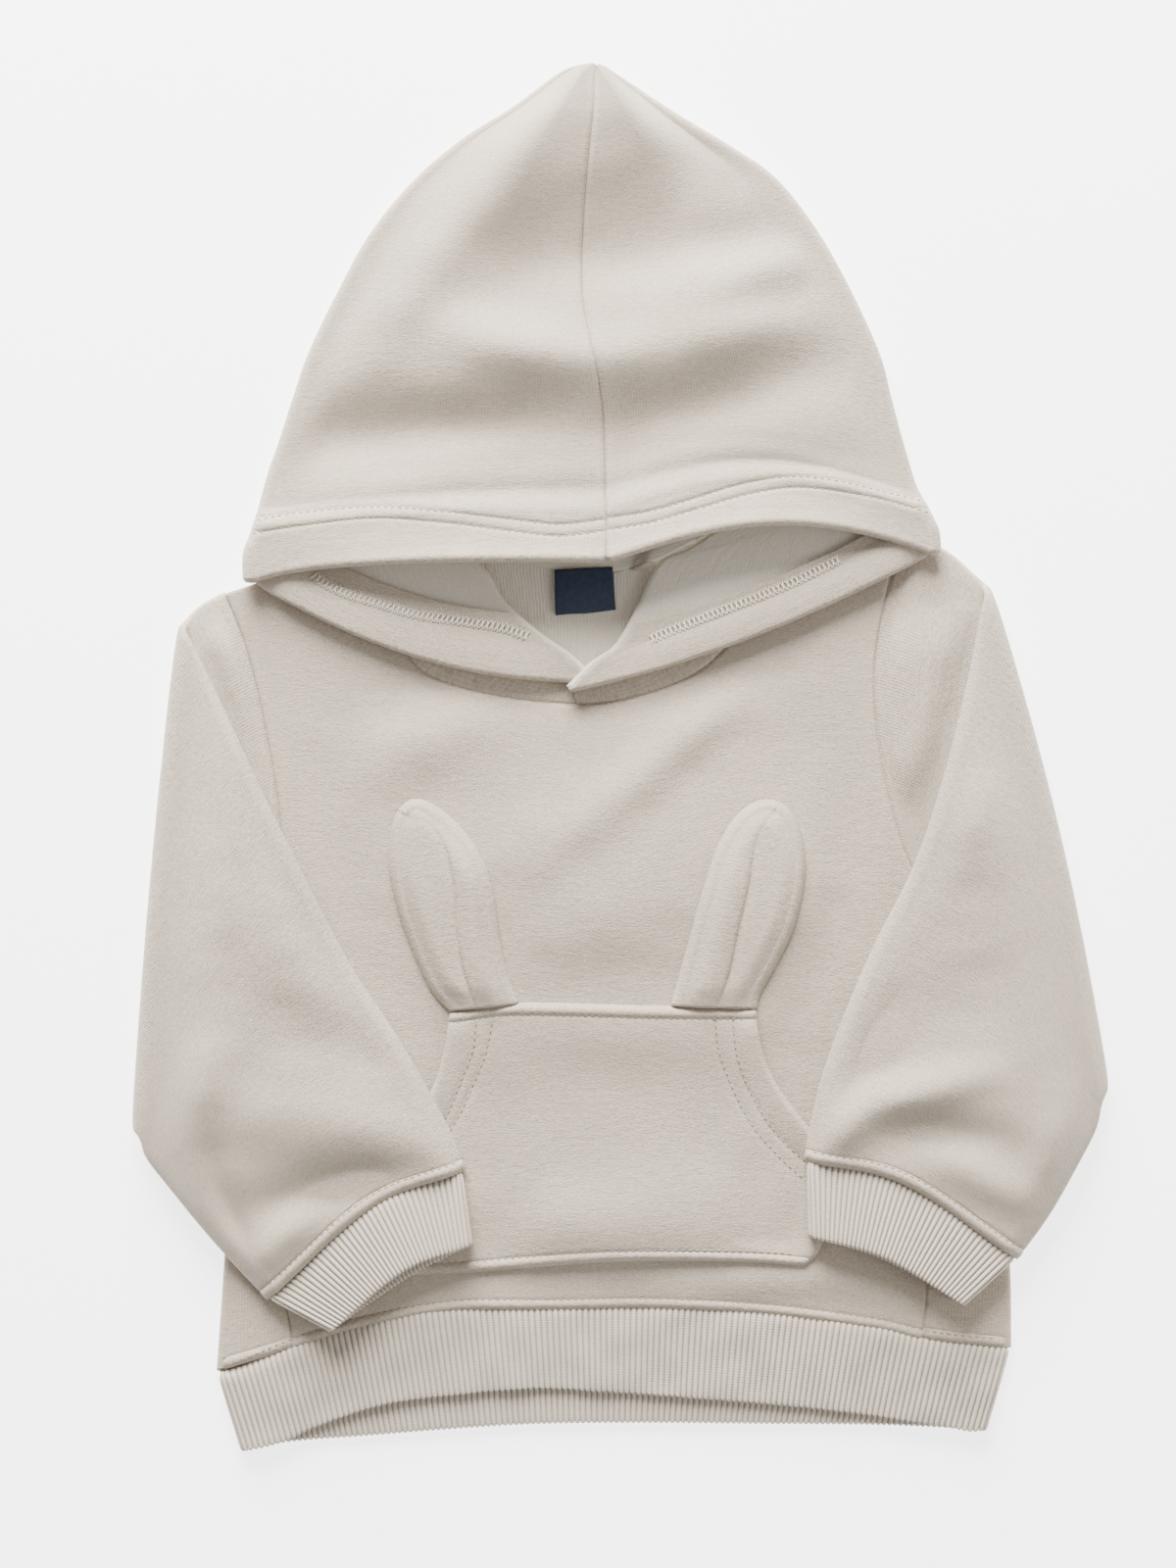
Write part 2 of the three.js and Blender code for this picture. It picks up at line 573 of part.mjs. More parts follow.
function hoodFlap(rows, side) {
  const crossing = side === 'right';
  const inward = side === 'left' ? 1 : -1;
  const floor = CLOTH + AIR;
  const overlap = 3;
  const place = (u, index, face) => {
    const strip = FLAP[side][index];
    const row = rowBetween(rows, strip.row);
    const turn = THREE.MathUtils.clamp(u, 0, 1) * Math.PI;
    const centre = row.endX - inward * STACK / 2;
    const ceiling = hoodSeat(centre, row.endY, crossing) + CLOTH;
    const radius = (ceiling - floor) / 2;
    const r = radius - (face ? 0 : CLOTH);
    let x = centre + inward * r * Math.sin(turn);
    let y = row.endY;
    if (u < 0) x = centre + inward * u * overlap;
    if (u > 1) {
      const gap = SEAM / 2;
      x = lerp(centre, strip.neckX, u - 1);
      y = lerp(row.endY, strip.neckY + gap, u - 1);
    }
    return [x, y, floor + radius + r * Math.cos(turn)];
  };
  const us = [-1, 0, 0.25, 0.5, 0.75, 1, 1.5, 2];
  return gridSolid(us, FLAP[side].map((_, index) => index), place);
}

function hood(side) {
  const rows = side === 'left' ? HOOD_LEFT : HOOD_RIGHT;
  const loft = side === 'left' ? HOOD_LEFT_LOFT : HOOD_RIGHT_LOFT;
  const frontRoom = grown(plate(frontOutline(), CLOTH + SEAM, STACK + SEAM / 2), SEAM);
  const backRoom = grown(plate(backOutline(), -1, CLOTH + SEAM), SEAM);
  const cloth = hoodMain(rows, loft, side).add(hoodFlap(rows, side));
  return cloth.subtract(frontRoom).subtract(backRoom).simplify(SLIVER);
}

// ---------------------------------------------------------------- pocket, ears and label

const POCKET = [
  ...curve([[-63.4, -97.6], [-38, -94.4], [14.6, -95.6], [51.6, -96.2]], 6),
  ...curve([[52.3, -104], [54.8, -115], [59.4, -125], [66, -134.6], [77, -147.5], [89, -157]], 8),
  ...curve([[77.8, -182.6], [74.5, -189.4], [70, -192.8]], 3),
  ...curve([[43, -191.2], [-4.5, -191.2], [-52.5, -195.4], [-80, -197]], 6),
  ...curve([[-98, -160], [-86, -149], [-76, -137], [-69, -124], [-65.2, -110]], 8),
];

const EARS = {
  left: [[-63.4, -96.6], [-71, -88], [-79, -70], [-84.6, -52], [-86.4, -38], [-84.2, -23], [-77.6, -17],
    [-70, -19.6], [-60, -28], [-52.4, -39], [-48.2, -52], [-45.8, -70], [-42.6, -84], [-38.6, -94]],
  right: [[20.6, -94.8], [27, -72], [33, -50], [39, -33], [47, -21.5], [56.2, -17.2], [64.4, -20.8],
    [69, -32], [69.8, -46], [66, -64], [59, -79], [53, -90], [51.6, -95.8]],
};

const ear = (side) => {
  const outline = curve(EARS[side], 26);
  return plate(outline.map(([x, y]) => [x, y + SEAM * 2]), ON_BODY, ON_BODY + EAR);
};

function neckLabel() {
  const lip = [[-24.4, 69.2], [-24, 54.4], [-19, 55.4], [-18, 54], [-6, 55], [-1.1, 56.6], [-2.6, 71.4]];
  return plate(lip, CLOTH + SEAM, CLOTH + SEAM + LABEL);
}

// ---------------------------------------------------------------- the sweatshirt

const sweatshirt = new THREE.Group();
sweatshirt.add(
  piece('back_panel', backPanel(), CREAM),
  piece('front_panel', plate(frontOutline(), CLOTH + AIR, STACK), CREAM),
  piece('hem_band', hemBand(), CREAM_RIB),
  piece('sleeve_left', sleeve('left'), CREAM),
  piece('sleeve_right', sleeve('right'), CREAM),
  piece('cuff_left', cuff('left'), CREAM_RIB),
  piece('cuff_right', cuff('right'), CREAM_RIB),
  piece('hood_left', hood('left'), CREAM),
  piece('hood_right', hood('right'), CREAM),
  piece('pocket', plate(POCKET, ON_BODY, ON_BODY + CLOTH), CREAM),
  piece('ear_left', ear('left'), CREAM),
  piece('ear_right', ear('right'), CREAM),
  piece('neck_label', neckLabel(), NAVY),
);

export default sweatshirt;
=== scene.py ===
import json
import math

import bmesh
import bpy
import numpy as np
from mathutils import Matrix, Vector
from mathutils.bvhtree import BVHTree

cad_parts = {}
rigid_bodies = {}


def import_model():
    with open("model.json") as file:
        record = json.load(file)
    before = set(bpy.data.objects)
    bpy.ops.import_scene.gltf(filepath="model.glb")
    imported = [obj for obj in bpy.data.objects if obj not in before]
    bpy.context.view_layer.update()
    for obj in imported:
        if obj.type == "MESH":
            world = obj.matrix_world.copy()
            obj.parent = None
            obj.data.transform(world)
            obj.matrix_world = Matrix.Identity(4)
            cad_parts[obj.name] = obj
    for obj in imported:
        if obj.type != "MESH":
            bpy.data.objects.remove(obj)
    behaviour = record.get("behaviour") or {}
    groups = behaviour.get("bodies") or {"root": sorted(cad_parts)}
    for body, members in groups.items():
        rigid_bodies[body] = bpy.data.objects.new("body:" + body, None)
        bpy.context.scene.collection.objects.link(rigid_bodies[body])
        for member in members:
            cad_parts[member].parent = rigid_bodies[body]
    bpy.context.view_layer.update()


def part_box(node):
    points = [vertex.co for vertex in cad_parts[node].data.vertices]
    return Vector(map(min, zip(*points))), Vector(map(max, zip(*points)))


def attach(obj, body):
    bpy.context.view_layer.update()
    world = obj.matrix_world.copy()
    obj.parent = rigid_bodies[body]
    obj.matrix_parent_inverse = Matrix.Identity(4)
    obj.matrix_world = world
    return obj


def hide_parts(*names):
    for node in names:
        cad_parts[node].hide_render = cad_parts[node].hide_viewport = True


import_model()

bl_info = {
    "name": "Hooded Sweatshirt",
    "version": (1, 0, 0),
    "blender": (4, 5, 0),
    "location": "3D View > Sidebar > Sweatshirt",
    "description": "Builds a baby's hooded sweatshirt with a rabbit-ear pocket, laid out flat",
    "category": "Add Mesh",
}

# Sizes in this file are millimetres, and meshes are made in metres.
MM = 0.001

SIDES = ("left", "right")
INWARD = {"left": 1, "right": -1}    # the way along X from each side towards the middle


def bottom_of(node):
    """The lowest height of a CAD node."""
    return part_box(node)[0].z / MM


def top_of(node):
    """The highest height of a CAD node."""
    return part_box(node)[1].z / MM


CLOTH = top_of("pocket") - bottom_of("pocket")    # thickness of the fleece
BODY_HIGH = top_of("front_panel")                 # top of the flat front
BODY_MID = BODY_HIGH - CLOTH / 2                  # middle of the front's cloth
ON_BODY = bottom_of("pocket")                     # what lies on the front starts here
ON_POCKET = bottom_of("cuff_left")                # what lies on the pocket starts here
BAND_HIGH = top_of("hem_band")                    # height of a rib band, turned double


# ---------------------------------------------------------------- curves and tables

def running(steps):
    """The sums of steps so far, from 0 on."""
    return np.concatenate([[0.0], np.cumsum(steps)])


class Path:
    """A smooth curve through a few points, read by its share of the length."""

    def __init__(self, points, smooth=True):
        points = np.array(points, dtype=float)
        dense = through_points(points, 16) if smooth and len(points) > 2 else points
        self.dense = dense
        self.run = running(np.linalg.norm(np.diff(dense, axis=0), axis=1))
        self.length = float(self.run[-1])

    def at(self, share):
        run = np.asarray(share, dtype=float) * self.length
        columns = [np.interp(run, self.run, self.dense[:, axis]) for axis in range(self.dense.shape[1])]
        return np.stack(columns, axis=-1)


def part(path, start, end, count=60):
    """The stretch of a path between two shares of its length."""
    return Path(path.at(np.linspace(start, end, count)), smooth=False)


def share_near(path, x, y):
    """The share of a path's length at its nearest point to a place."""
    return float(to_line(np.array([float(x)]), np.array([float(y)]), path, 240)[2][0])


def through_points(points, pieces):
    """Points along a curve that passes smoothly through the given ones."""
    before = np.vstack([2 * points[0] - points[1], points[:-1]])
    after = np.vstack([points[1:], 2 * points[-1] - points[-2]])
    slope = (after - before) / 2
    share = np.linspace(0, 1, pieces, endpoint=False)[:, None]
    spans = []
    for index in range(len(points) - 1):
        start, end = points[index], points[index + 1]
        cube, square = share ** 3, share ** 2
        spans.append((2 * cube - 3 * square + 1) * start + (cube - 2 * square + share) * slope[index]
                     + (3 * square - 2 * cube) * end + (cube - square) * slope[index + 1])
    return np.vstack(spans + [points[-1:]])


def joined(*parts):
    """One path along several, in order."""
    return Path(np.vstack([part.dense for part in parts]), smooth=False)


def unit(vectors):
    """Vectors at a length of one."""
    return vectors / np.maximum(np.linalg.norm(vectors, axis=-1, keepdims=True), 1e-9)


def beside(path, by):
    """A line at a distance to the left of another."""
    run = np.gradient(path.dense, axis=0)
    left = np.stack([-run[:, 1], run[:, 0]], axis=1)
    return Path(path.dense + unit(left) * by, smooth=False)


def to_line(x, y, path, pieces=80):
    """Distance from places to a line, which side of it they are on, and how far along it."""
    line = path.at(np.linspace(0, 1, pieces + 1))
    best = np.full(x.shape, np.inf)
    side = np.zeros(x.shape)
    along = np.zeros(x.shape)
    for index in range(pieces):
        start_x, start_y = line[index]
        step_x, step_y = line[index + 1] - line[index]
        share = ((x - start_x) * step_x + (y - start_y) * step_y) / (step_x ** 2 + step_y ** 2)
        share = np.clip(share, 0, 1)
        off_x, off_y = x - start_x - share * step_x, y - start_y - share * step_y
        gap = np.hypot(off_x, off_y)
        near = gap < best
        best = np.where(near, gap, best)
        side = np.where(near, np.sign(step_x * off_y - step_y * off_x), side)
        along = np.where(near, (index + share) / pieces, along)
    return best, side, along


def coons(top, bottom, left, right, u, v):
    """A point inside four edges. u runs along top and bottom, v along left and right."""
    u2, v2 = u[..., None], v[..., None]
    ruled = (1 - v2) * top.at(u) + v2 * bottom.at(u) + (1 - u2) * left.at(v) + u2 * right.at(v)
    corners = ((1 - u2) * (1 - v2) * top.at(0.0) + u2 * (1 - v2) * top.at(1.0)
               + (1 - u2) * v2 * bottom.at(0.0) + u2 * v2 * bottom.at(1.0))
    return ruled - corners


def ease(value):
    """0 to 1 with soft ends."""
    held = np.clip(value, 0.0, 1.0)
    return held * held * (3 - 2 * held)


def mix(low, high, share):
    """A value between two, by a share."""
    return low + (high - low) * share


def bump(gap, wide, high=1.0):
    """A soft ridge of a height and half width, centred where gap is 0."""
    return high * np.exp(-((gap / wide) ** 2))


def folds(table, x, y):
    """Height of soft ridges and hollows: rows of x, y, half length, half width, turn in degrees, height."""
    total = np.zeros_like(x)
    for row_x, row_y, long, wide, turn, height in table:
        angle = math.radians(turn)
        along = (x - row_x) * math.cos(angle) + (y - row_y) * math.sin(angle)
        across = (y - row_y) * math.cos(angle) - (x - row_x) * math.sin(angle)
        total += height * np.exp(-((along / long) ** 2) - (across / wide) ** 2)
    return total


RIPPLES = 18
RIPPLE_REACH = (14, 46)    # shortest and longest wave


def ripple(x, y, high, seed=5):
    """The slight unevenness of soft cloth that was smoothed flat by hand."""
    draw = np.random.RandomState(seed)
    total = np.zeros_like(x)
    for _ in range(RIPPLES):
        turn = draw.uniform(0, math.pi)
        reach = draw.uniform(*RIPPLE_REACH)
        shift = draw.uniform(0, 2 * math.pi)
        total += np.sin((x * math.cos(turn) + y * math.sin(turn)) * 2 * math.pi / reach + shift)
    return total * high / 3


def column(table, index, place, breaks=()):
    """One column of a table read smoothly at places between its rows, with corners at the breaks."""
    values = np.array([row[index] for row in table], dtype=float)
    edges = [0, *breaks, len(values) - 1]
    result = np.empty_like(place)
    for start, end in zip(edges[:-1], edges[1:]):
        rows = np.arange(start, end + 1)
        dense = through_points(values[rows][:, None], 12)[:, 0]
        at = np.linspace(start, end, len(dense))
        inside = (place >= start) & (place <= end)
        result[inside] = np.interp(place[inside], at, dense)
    return result


# Distances from a sewn edge at which cloth is sampled, so that its turn, welt and stitched groove show.
EDGE_STEPS = np.array([0, 0.15, 0.4, 0.75, 1.15, 1.6, 2.05, 2.5, 2.9, 3.2, 3.5, 3.8, 4.2, 4.8, 5.6, 6.6])
SEAM_ROUND = 1.3         # how sharply the middle of the cloth turns down into a seam
MIDDLE_SEAM_ROUND = 1.6  # the same at the hood's middle seam
ARMHOLE_ROUND = 1.8      # the same where a sleeve meets its armhole
POCKET_ROUND = 1.5       # the same at the edges of the pocket and the ears
SEAM_INSET = 0.6         # from the seam line to the middle of the turned-down cloth
SEAM_REACH = 6           # how far from a seam the cloth is drawn in by that
WELT = 3.5               # from a welted seam to its topstitching
GROOVE_HALF = 0.6        # half width of a topstitched groove


def shares(length, count, start=True, end=True):
    """Shares from 0 to 1 along a length, closer together near its sewn ends."""
    low = EDGE_STEPS if start else EDGE_STEPS[:1]
    high = length - (EDGE_STEPS if end else EDGE_STEPS[:1])[::-1]
    middle = np.linspace(low[-1], high[0], count)[1:-1]
    return np.concatenate([low, middle, high]) / length


def margins(flat):
    """How far each place on a grid is from its left, right, top and bottom edge, along the cloth."""
    across = np.cumsum(np.linalg.norm(np.diff(flat, axis=1), axis=2), axis=1)
    across = np.pad(across, ((0, 0), (1, 0)))
    down = np.cumsum(np.linalg.norm(np.diff(flat, axis=0), axis=2), axis=0)
    down = np.pad(down, ((1, 0), (0, 0)))
    return across, across[:, -1:] - across, down, down[-1:] - down


def drawn_in(gap):
    """How far cloth at a distance from a seam is drawn in from it."""
    return SEAM_INSET * np.clip(1 - gap / SEAM_REACH, 0, 1)


def inset(flat):
    """Draws a grid's top and bottom edge in a little, so that two turned-down edges meet at their seam."""
    _, _, top, bottom = margins(flat)
    down = unit(np.gradient(flat, axis=0))
    return flat + down * drawn_in(top)[..., None] - down * drawn_in(bottom)[..., None]


def at_seams(x, y, seams):
    """Distance to the nearest of some seams, and the places drawn in from them so that edges meet.

    Each seam is a path and the side of it that the cloth is on: 1 for its left, -1 for its right."""
    nearest = np.full(x.shape, np.inf)
    moved_x, moved_y = x.copy(), y.copy()
    for path, side in seams:
        gap, _, along = to_line(x, y, path)
        run = unit(path.at(np.clip(along + 0.004, 0, 1)) - path.at(np.clip(along - 0.004, 0, 1)))
        pull = drawn_in(gap) * side
        moved_x -= run[..., 1] * pull
        moved_y += run[..., 0] * pull
        nearest = np.minimum(nearest, gap)
    return nearest, moved_x, moved_y


def turned_in(gap, around=SEAM_ROUND):
    """Cloth that turns down into a seam where gap is 0."""
    near = np.clip(gap, 0, around)
    return np.sqrt(np.maximum(around ** 2 - (around - near) ** 2, 0)) - around


def welt(gap, around=SEAM_ROUND, ridge=(1.75, 1.3, 1.1), groove=-0.55):
    """A sewn edge with its turn, the round ridge over the seam's layers, and a topstitched groove.

    ridge is how far in the ridge lies, its half width and its height."""
    ridge_at, ridge_half, ridge_high = ridge
    return (turned_in(gap, around) + bump(gap - ridge_at, ridge_half, ridge_high)
            + bump(gap - WELT, GROOVE_HALF, groove))


# ---------------------------------------------------------------- making meshes

def weave(bm, points, run=None):
    """Adds a sheet from rows by columns of points in millimetres, with a cloth map in metres.

    run is how far along the cloth each column is, where that isn't just the distance between them."""
    rows, columns = points.shape[:2]
    verts = bmesh.ops.create_grid(bm, x_segments=columns - 1, y_segments=rows - 1, size=0.5)["verts"]
    layer = bm.loops.layers.uv.get("cloth") or bm.loops.layers.uv.new("cloth")
    across = np.linalg.norm(np.diff(points, axis=1), axis=2).mean(axis=0)
    down = np.linalg.norm(np.diff(points, axis=0), axis=2).mean(axis=1)
    map_u = (running(across) if run is None else run) * MM
    map_v = running(down) * MM
    spots = {}
    for vert in verts:
        i = round((vert.co.x + 0.5) * (columns - 1))
        j = round((vert.co.y + 0.5) * (rows - 1))
        spots[vert] = (map_u[i], map_v[j])
        vert.co = Vector(points[j, i]) * MM
    for face in {face for vert in verts for face in vert.link_faces}:
        for loop in face.loops:
            loop[layer].uv = spots[loop.vert]


def add_piece(name, bm, finishes):
    """Makes a smooth object of a finished bmesh, with materials by their names."""
    for face in bm.faces:
        face.smooth = True
    mesh = bpy.data.meshes.new(name)
    bm.to_mesh(mesh)
    bm.free()
    for finish in finishes:
        mesh.materials.append(bpy.data.materials[finish])
    piece = bpy.data.objects.new(name, mesh)
    bpy.context.collection.objects.link(piece)
    return piece


def make_piece(name, sheets, finishes, outside, joined_edges=True, wall=None, run=None):
    """One piece of cloth from grids of points: a thin shell, its right side facing up at a point.

    outside is that point. wall is the cloth's thickness, half to each side, or None where the grids
    already make a closed skin. The first finish is the right side's, the last one the wrong side's."""
    bm = bmesh.new()
    for points in sheets:
        weave(bm, points, run)
    if joined_edges:
        bmesh.ops.remove_doubles(bm, verts=bm.verts, dist=2e-6)
        bmesh.ops.recalc_face_normals(bm, faces=bm.faces)
    spot = Vector(outside) * MM
    nearest = min(bm.faces, key=lambda face: (face.calc_center_median() - spot).length_squared)
    nearest.normal_update()
    if nearest.normal.z < 0:
        bmesh.ops.reverse_faces(bm, faces=bm.faces)
    piece = add_piece(name, bm, finishes)
    if wall:
        solidify = piece.modifiers.new("Cloth thickness", "SOLIDIFY")
        solidify.thickness = wall * MM
        solidify.offset = 0.0
        solidify.use_even_offset = False
        solidify.material_offset = len(finishes) - 1
        solidify.material_offset_rim = 0
    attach(piece, "root")
    return piece


def normals(points):
    """Unit normals of a grid of points."""
    return unit(np.cross(np.gradient(points, axis=1), np.gradient(points, axis=0)))


# ---------------------------------------------------------------- shapes of the cut pieces

NECK_LEFT = (-73, 88)
NECK_RIGHT = (48, 92)
ARMHOLE_LEFT = Path([(-150, 62), (-141.5, 40), (-134, 8), (-129, -25), (-128.5, -52), (-139, -97)])
ARMHOLE_RIGHT = Path([(107.6, 84), (101, 57), (97.6, 30), (100, 0), (107, -30), (118, -55), (132.8, -80)])
FRONT_NECK = Path([NECK_LEFT, (-84, 60), (-79, 36.4), (-59, 25.9), (-25, 20.2), (3.4, 21.8), (34, 35),
                   (50, 60), NECK_RIGHT])
BACK_NECK = Path([NECK_LEFT, (-50, 78.6), (-28, 71.8), (-8, 69.5), (8, 73), (26, 81.8), NECK_RIGHT])

# The side folds and the side seams on the front, from the armpit down to the hem.
FOLD_LEFT = Path([(-143, -102), (-147.4, -150), (-150.5, -200), (-153, -235.6)])
FOLD_RIGHT = Path([(136.8, -85), (143, -137), (148.8, -190), (149.6, -226.2)])
SEAM_LEFT = Path([(-139, -99), (-133, -150), (-128, -200), (-124, -225)])
SEAM_RIGHT = Path([(132.8, -82), (125, -137), (119, -190), (116, -221.5)])

# The hem across its width: the band's seam on the front and the back, and its free edge on each.
HEM_FRONT = Path([(-153, -235.6), (-147.4, -235.4), (-124, -226), (-95.6, -217.3), (-62.6, -211.4),
                  (-24, -210.9), (13.9, -210.4), (55.9, -212.6), (98.2, -218.4), (119, -223),
                  (149.6, -226.2)])
HEM_BACK = Path([(-153, -235.6), (-125, -234), (-95, -231), (-62, -228), (-25, -226), (13, -225.6),
                 (56, -226), (98, -226.5), (149.6, -226.2)])
END_FRONT = Path([(-144, -264.8), (-128.6, -261.2), (-115.5, -255.4), (-100.1, -249.8), (-84.8, -246),
                  (-62.6, -243.4), (-40.5, -241.3), (-18.8, -241.2), (24.4, -244.1), (76.9, -248.6),
                  (119.2, -254.4), (134, -257), (140.5, -256)])
END_BACK = Path([(-144, -264.8), (-125.2, -261.4), (-95.6, -259.1), (-62.6, -256.5), (-29.6, -254.6),
                 (10.9, -254.2), (55.9, -254.6), (98.2, -255), (129.8, -256.3), (140.5, -256)])

# Soft swells and hollows of the front: x, y, half length, half width, turn, height.
BODY_FOLDS = [
    (-6, -44, 66, 52, 0, 8.0),
    (-74, 6, 30, 15, 26, 4.4),
    (28, 10, 58, 9, 42, 4.0),
    (-30, -30, 40, 12, 30, 1.4),
    (-10, -66, 30, 16, 20, 2.0),
    (70, 34, 26, 12, 30, 2.4),
    (70, -56, 44, 12, 78, 2.4),
    (-92, -50, 36, 9, 96, 1.8),
    (-8, -104, 64, 15, 0, 2.2),
    (-6, -178, 62, 18, 0, 4.8),
    (52, -200, 40, 8, 3, 2.6),
    (-36, -207, 26, 7, 6, 0.8),
]

# How far in the sleeves and cuffs lie over the front, on the left and the right: y, x.
UNDER_LEFT = np.array([
    (-225, -125), (-217, -105), (-200, -74), (-190, -54), (-157, -53), (-140, -63), (-108, -82),
    (-77, -101), (-27, -117), (14, -123), (60, -128),
], dtype=float)
UNDER_RIGHT = np.array([
    (-215, 135), (-207, 128), (-194, 98), (-184, 69), (-153, 66), (-120, 74), (-79, 88), (-50, 96),
    (20, 91), (60, 86),
], dtype=float)


CLEAR_LEFT, CLEAR_RIGHT, CLEAR_HOOD = 34, 30, 26    # how far from what covers it the front swells fully
UNDER_HOOD = 34                                     # the hood's lower edge covers the front above this y
DEEPEST = -0.2                                      # how far the front may sink below flat


def body_swell(x, y):
    """How far the front stands up over its flat height, none of it under the sleeves or the hood."""
    clear_left = ease((x - np.interp(y, UNDER_LEFT[:, 0], UNDER_LEFT[:, 1])) / CLEAR_LEFT)
    clear_right = ease((np.interp(y, UNDER_RIGHT[:, 0], UNDER_RIGHT[:, 1]) - x) / CLEAR_RIGHT)
    clear_hood = ease((UNDER_HOOD - y) / CLEAR_HOOD)
    return np.maximum(folds(BODY_FOLDS, x, y) * clear_left * clear_right * clear_hood, DEEPEST)


def on_front(x, y):
    """Height of the middle of a layer of cloth that lies on the front."""
    return ON_BODY + CLOTH / 2 + body_swell(x, y)


def front_sheet(top, bottom, left, right, across, down):
    """One part of the front, whose height depends on place alone, so that parts meet."""
    u, v = np.meshgrid(across, down)
    flat = coons(top, bottom, left, right, u, v)
    seams = [(ARMHOLE_LEFT, 1), (ARMHOLE_RIGHT, -1), (SEAM_LEFT, 1), (SEAM_RIGHT, -1), (FRONT_NECK, -1)]
    gap, x, y = at_seams(flat[..., 0], flat[..., 1], seams)
    from_hem, x, y = at_seams(x, y, [(HEM_FRONT, 1)])
    z = BODY_MID + body_swell(x, y) + ripple(x, y, 0.09) * ease(gap / 20)
    z += turned_in(gap) + welt(from_hem)
    return np.dstack([x, y, z])


# Where the front is divided into three sheets: places on the neckline and on the armholes.
NECK_SPLITS = ((-59, 25.9), (26, 31))
ARM_SPLITS = ((-137.5, 24), (97.7, 32))
FRONT_HEM = (0.098, 0.89)      # the front's share of the hem, between the side seams
SEAM_END = 0.9                 # the share of a side seam that runs straight before it meets the hem
UP_STEPS = 34


def front_points():
    """The front as three sheets that share edges: below the neck, and each side of it."""
    neck_left, neck_right = (share_near(FRONT_NECK, *spot) for spot in NECK_SPLITS)
    arm_left = share_near(ARMHOLE_LEFT, *ARM_SPLITS[0])
    arm_right = share_near(ARMHOLE_RIGHT, *ARM_SPLITS[1])
    to_neck = Path([ARMHOLE_LEFT.at(arm_left), FRONT_NECK.at(neck_left)])
    from_neck = Path([FRONT_NECK.at(neck_right), ARMHOLE_RIGHT.at(arm_right)])
    scoop = part(FRONT_NECK, neck_left, neck_right)
    top = joined(to_neck, scoop, from_neck)
    bottom = part(HEM_FRONT, *FRONT_HEM, 40)
    down_seam = np.linspace(0, SEAM_END, 10)
    left = joined(part(ARMHOLE_LEFT, arm_left, 1),
                  Path([*SEAM_LEFT.at(down_seam), bottom.at(0.0)], smooth=False))
    right = joined(part(ARMHOLE_RIGHT, arm_right, 1),
                   Path([*SEAM_RIGHT.at(down_seam), bottom.at(1.0)], smooth=False))
    side_left, side_right = shares(to_neck.length, 22), shares(from_neck.length, 22)
    across = np.concatenate([
        side_left * to_neck.length,
        to_neck.length + np.linspace(0, 1, 46)[1:-1] * scoop.length,
        to_neck.length + scoop.length + side_right * from_neck.length]) / top.length
    below = front_sheet(top, bottom, left, right, across, shares(245, 112))
    up = np.linspace(0, 1, UP_STEPS)
    beside_left = front_sheet(
        Path([ARMHOLE_LEFT.at(0.0), NECK_LEFT]), to_neck, part(ARMHOLE_LEFT, 0, arm_left),
        part(FRONT_NECK, 0, neck_left), side_left, up)
    beside_right = front_sheet(
        Path([NECK_RIGHT, ARMHOLE_RIGHT.at(0.0)]), from_neck,
        Path(part(FRONT_NECK, neck_right, 1).dense[::-1], smooth=False), part(ARMHOLE_RIGHT, 0, arm_right),
        side_right, up)
    return below, beside_left, beside_right


BACK_INSET = 2.6       # from the side fold's outline to where the flat back ends
SIDE_ROUND = 1.6       # how much wider than high the side fold is
SIDE_PUFF = 0.7        # how far the strip beside the side seam stands up


def side_wrap(start, fold, seam, inward):
    """The strip from the flat back round one side fold to the side seam on the front."""
    share = np.clip((start[:, 1] - start[0, 1]) / (start[-1, 1] - start[0, 1]), 0, 1)
    line = seam.at(share)
    radius = (BODY_MID - CLOTH / 2) / 2
    turn = np.linspace(-0.5, 0.5, 9)[None, :] * math.pi
    side_x = start[:, 0:1]
    bend_x = side_x - inward * radius * np.cos(turn) * SIDE_ROUND
    front_y = mix(start[:, 1], line[:, 1], 0.25)[:, None]
    bend_y = mix(start[:, 1:2], front_y, np.sin(turn) * 0.5 + 0.5)
    bend_z = CLOTH / 2 + radius + radius * np.sin(turn)
    bend = np.dstack([bend_x, bend_y, np.broadcast_to(bend_z, bend_x.shape)])
    reach = shares(25, 16, start=False)[None, 1:]
    flat_x = mix(side_x, line[:, 0:1] - inward * SEAM_INSET, reach)
    flat_y = mix(front_y, line[:, 1:2], reach)
    from_seam = np.abs(line[:, 0:1] - inward * SEAM_INSET - flat_x)
    from_hem = (1 - share)[:, None] * fold.length
    puff = SIDE_PUFF * np.sin(reach * math.pi)
    flat_z = BODY_MID + puff + turned_in(from_seam) + welt(np.broadcast_to(from_hem, flat_x.shape))
    return np.concatenate([bend, np.dstack([flat_x, flat_y, flat_z])], axis=1)


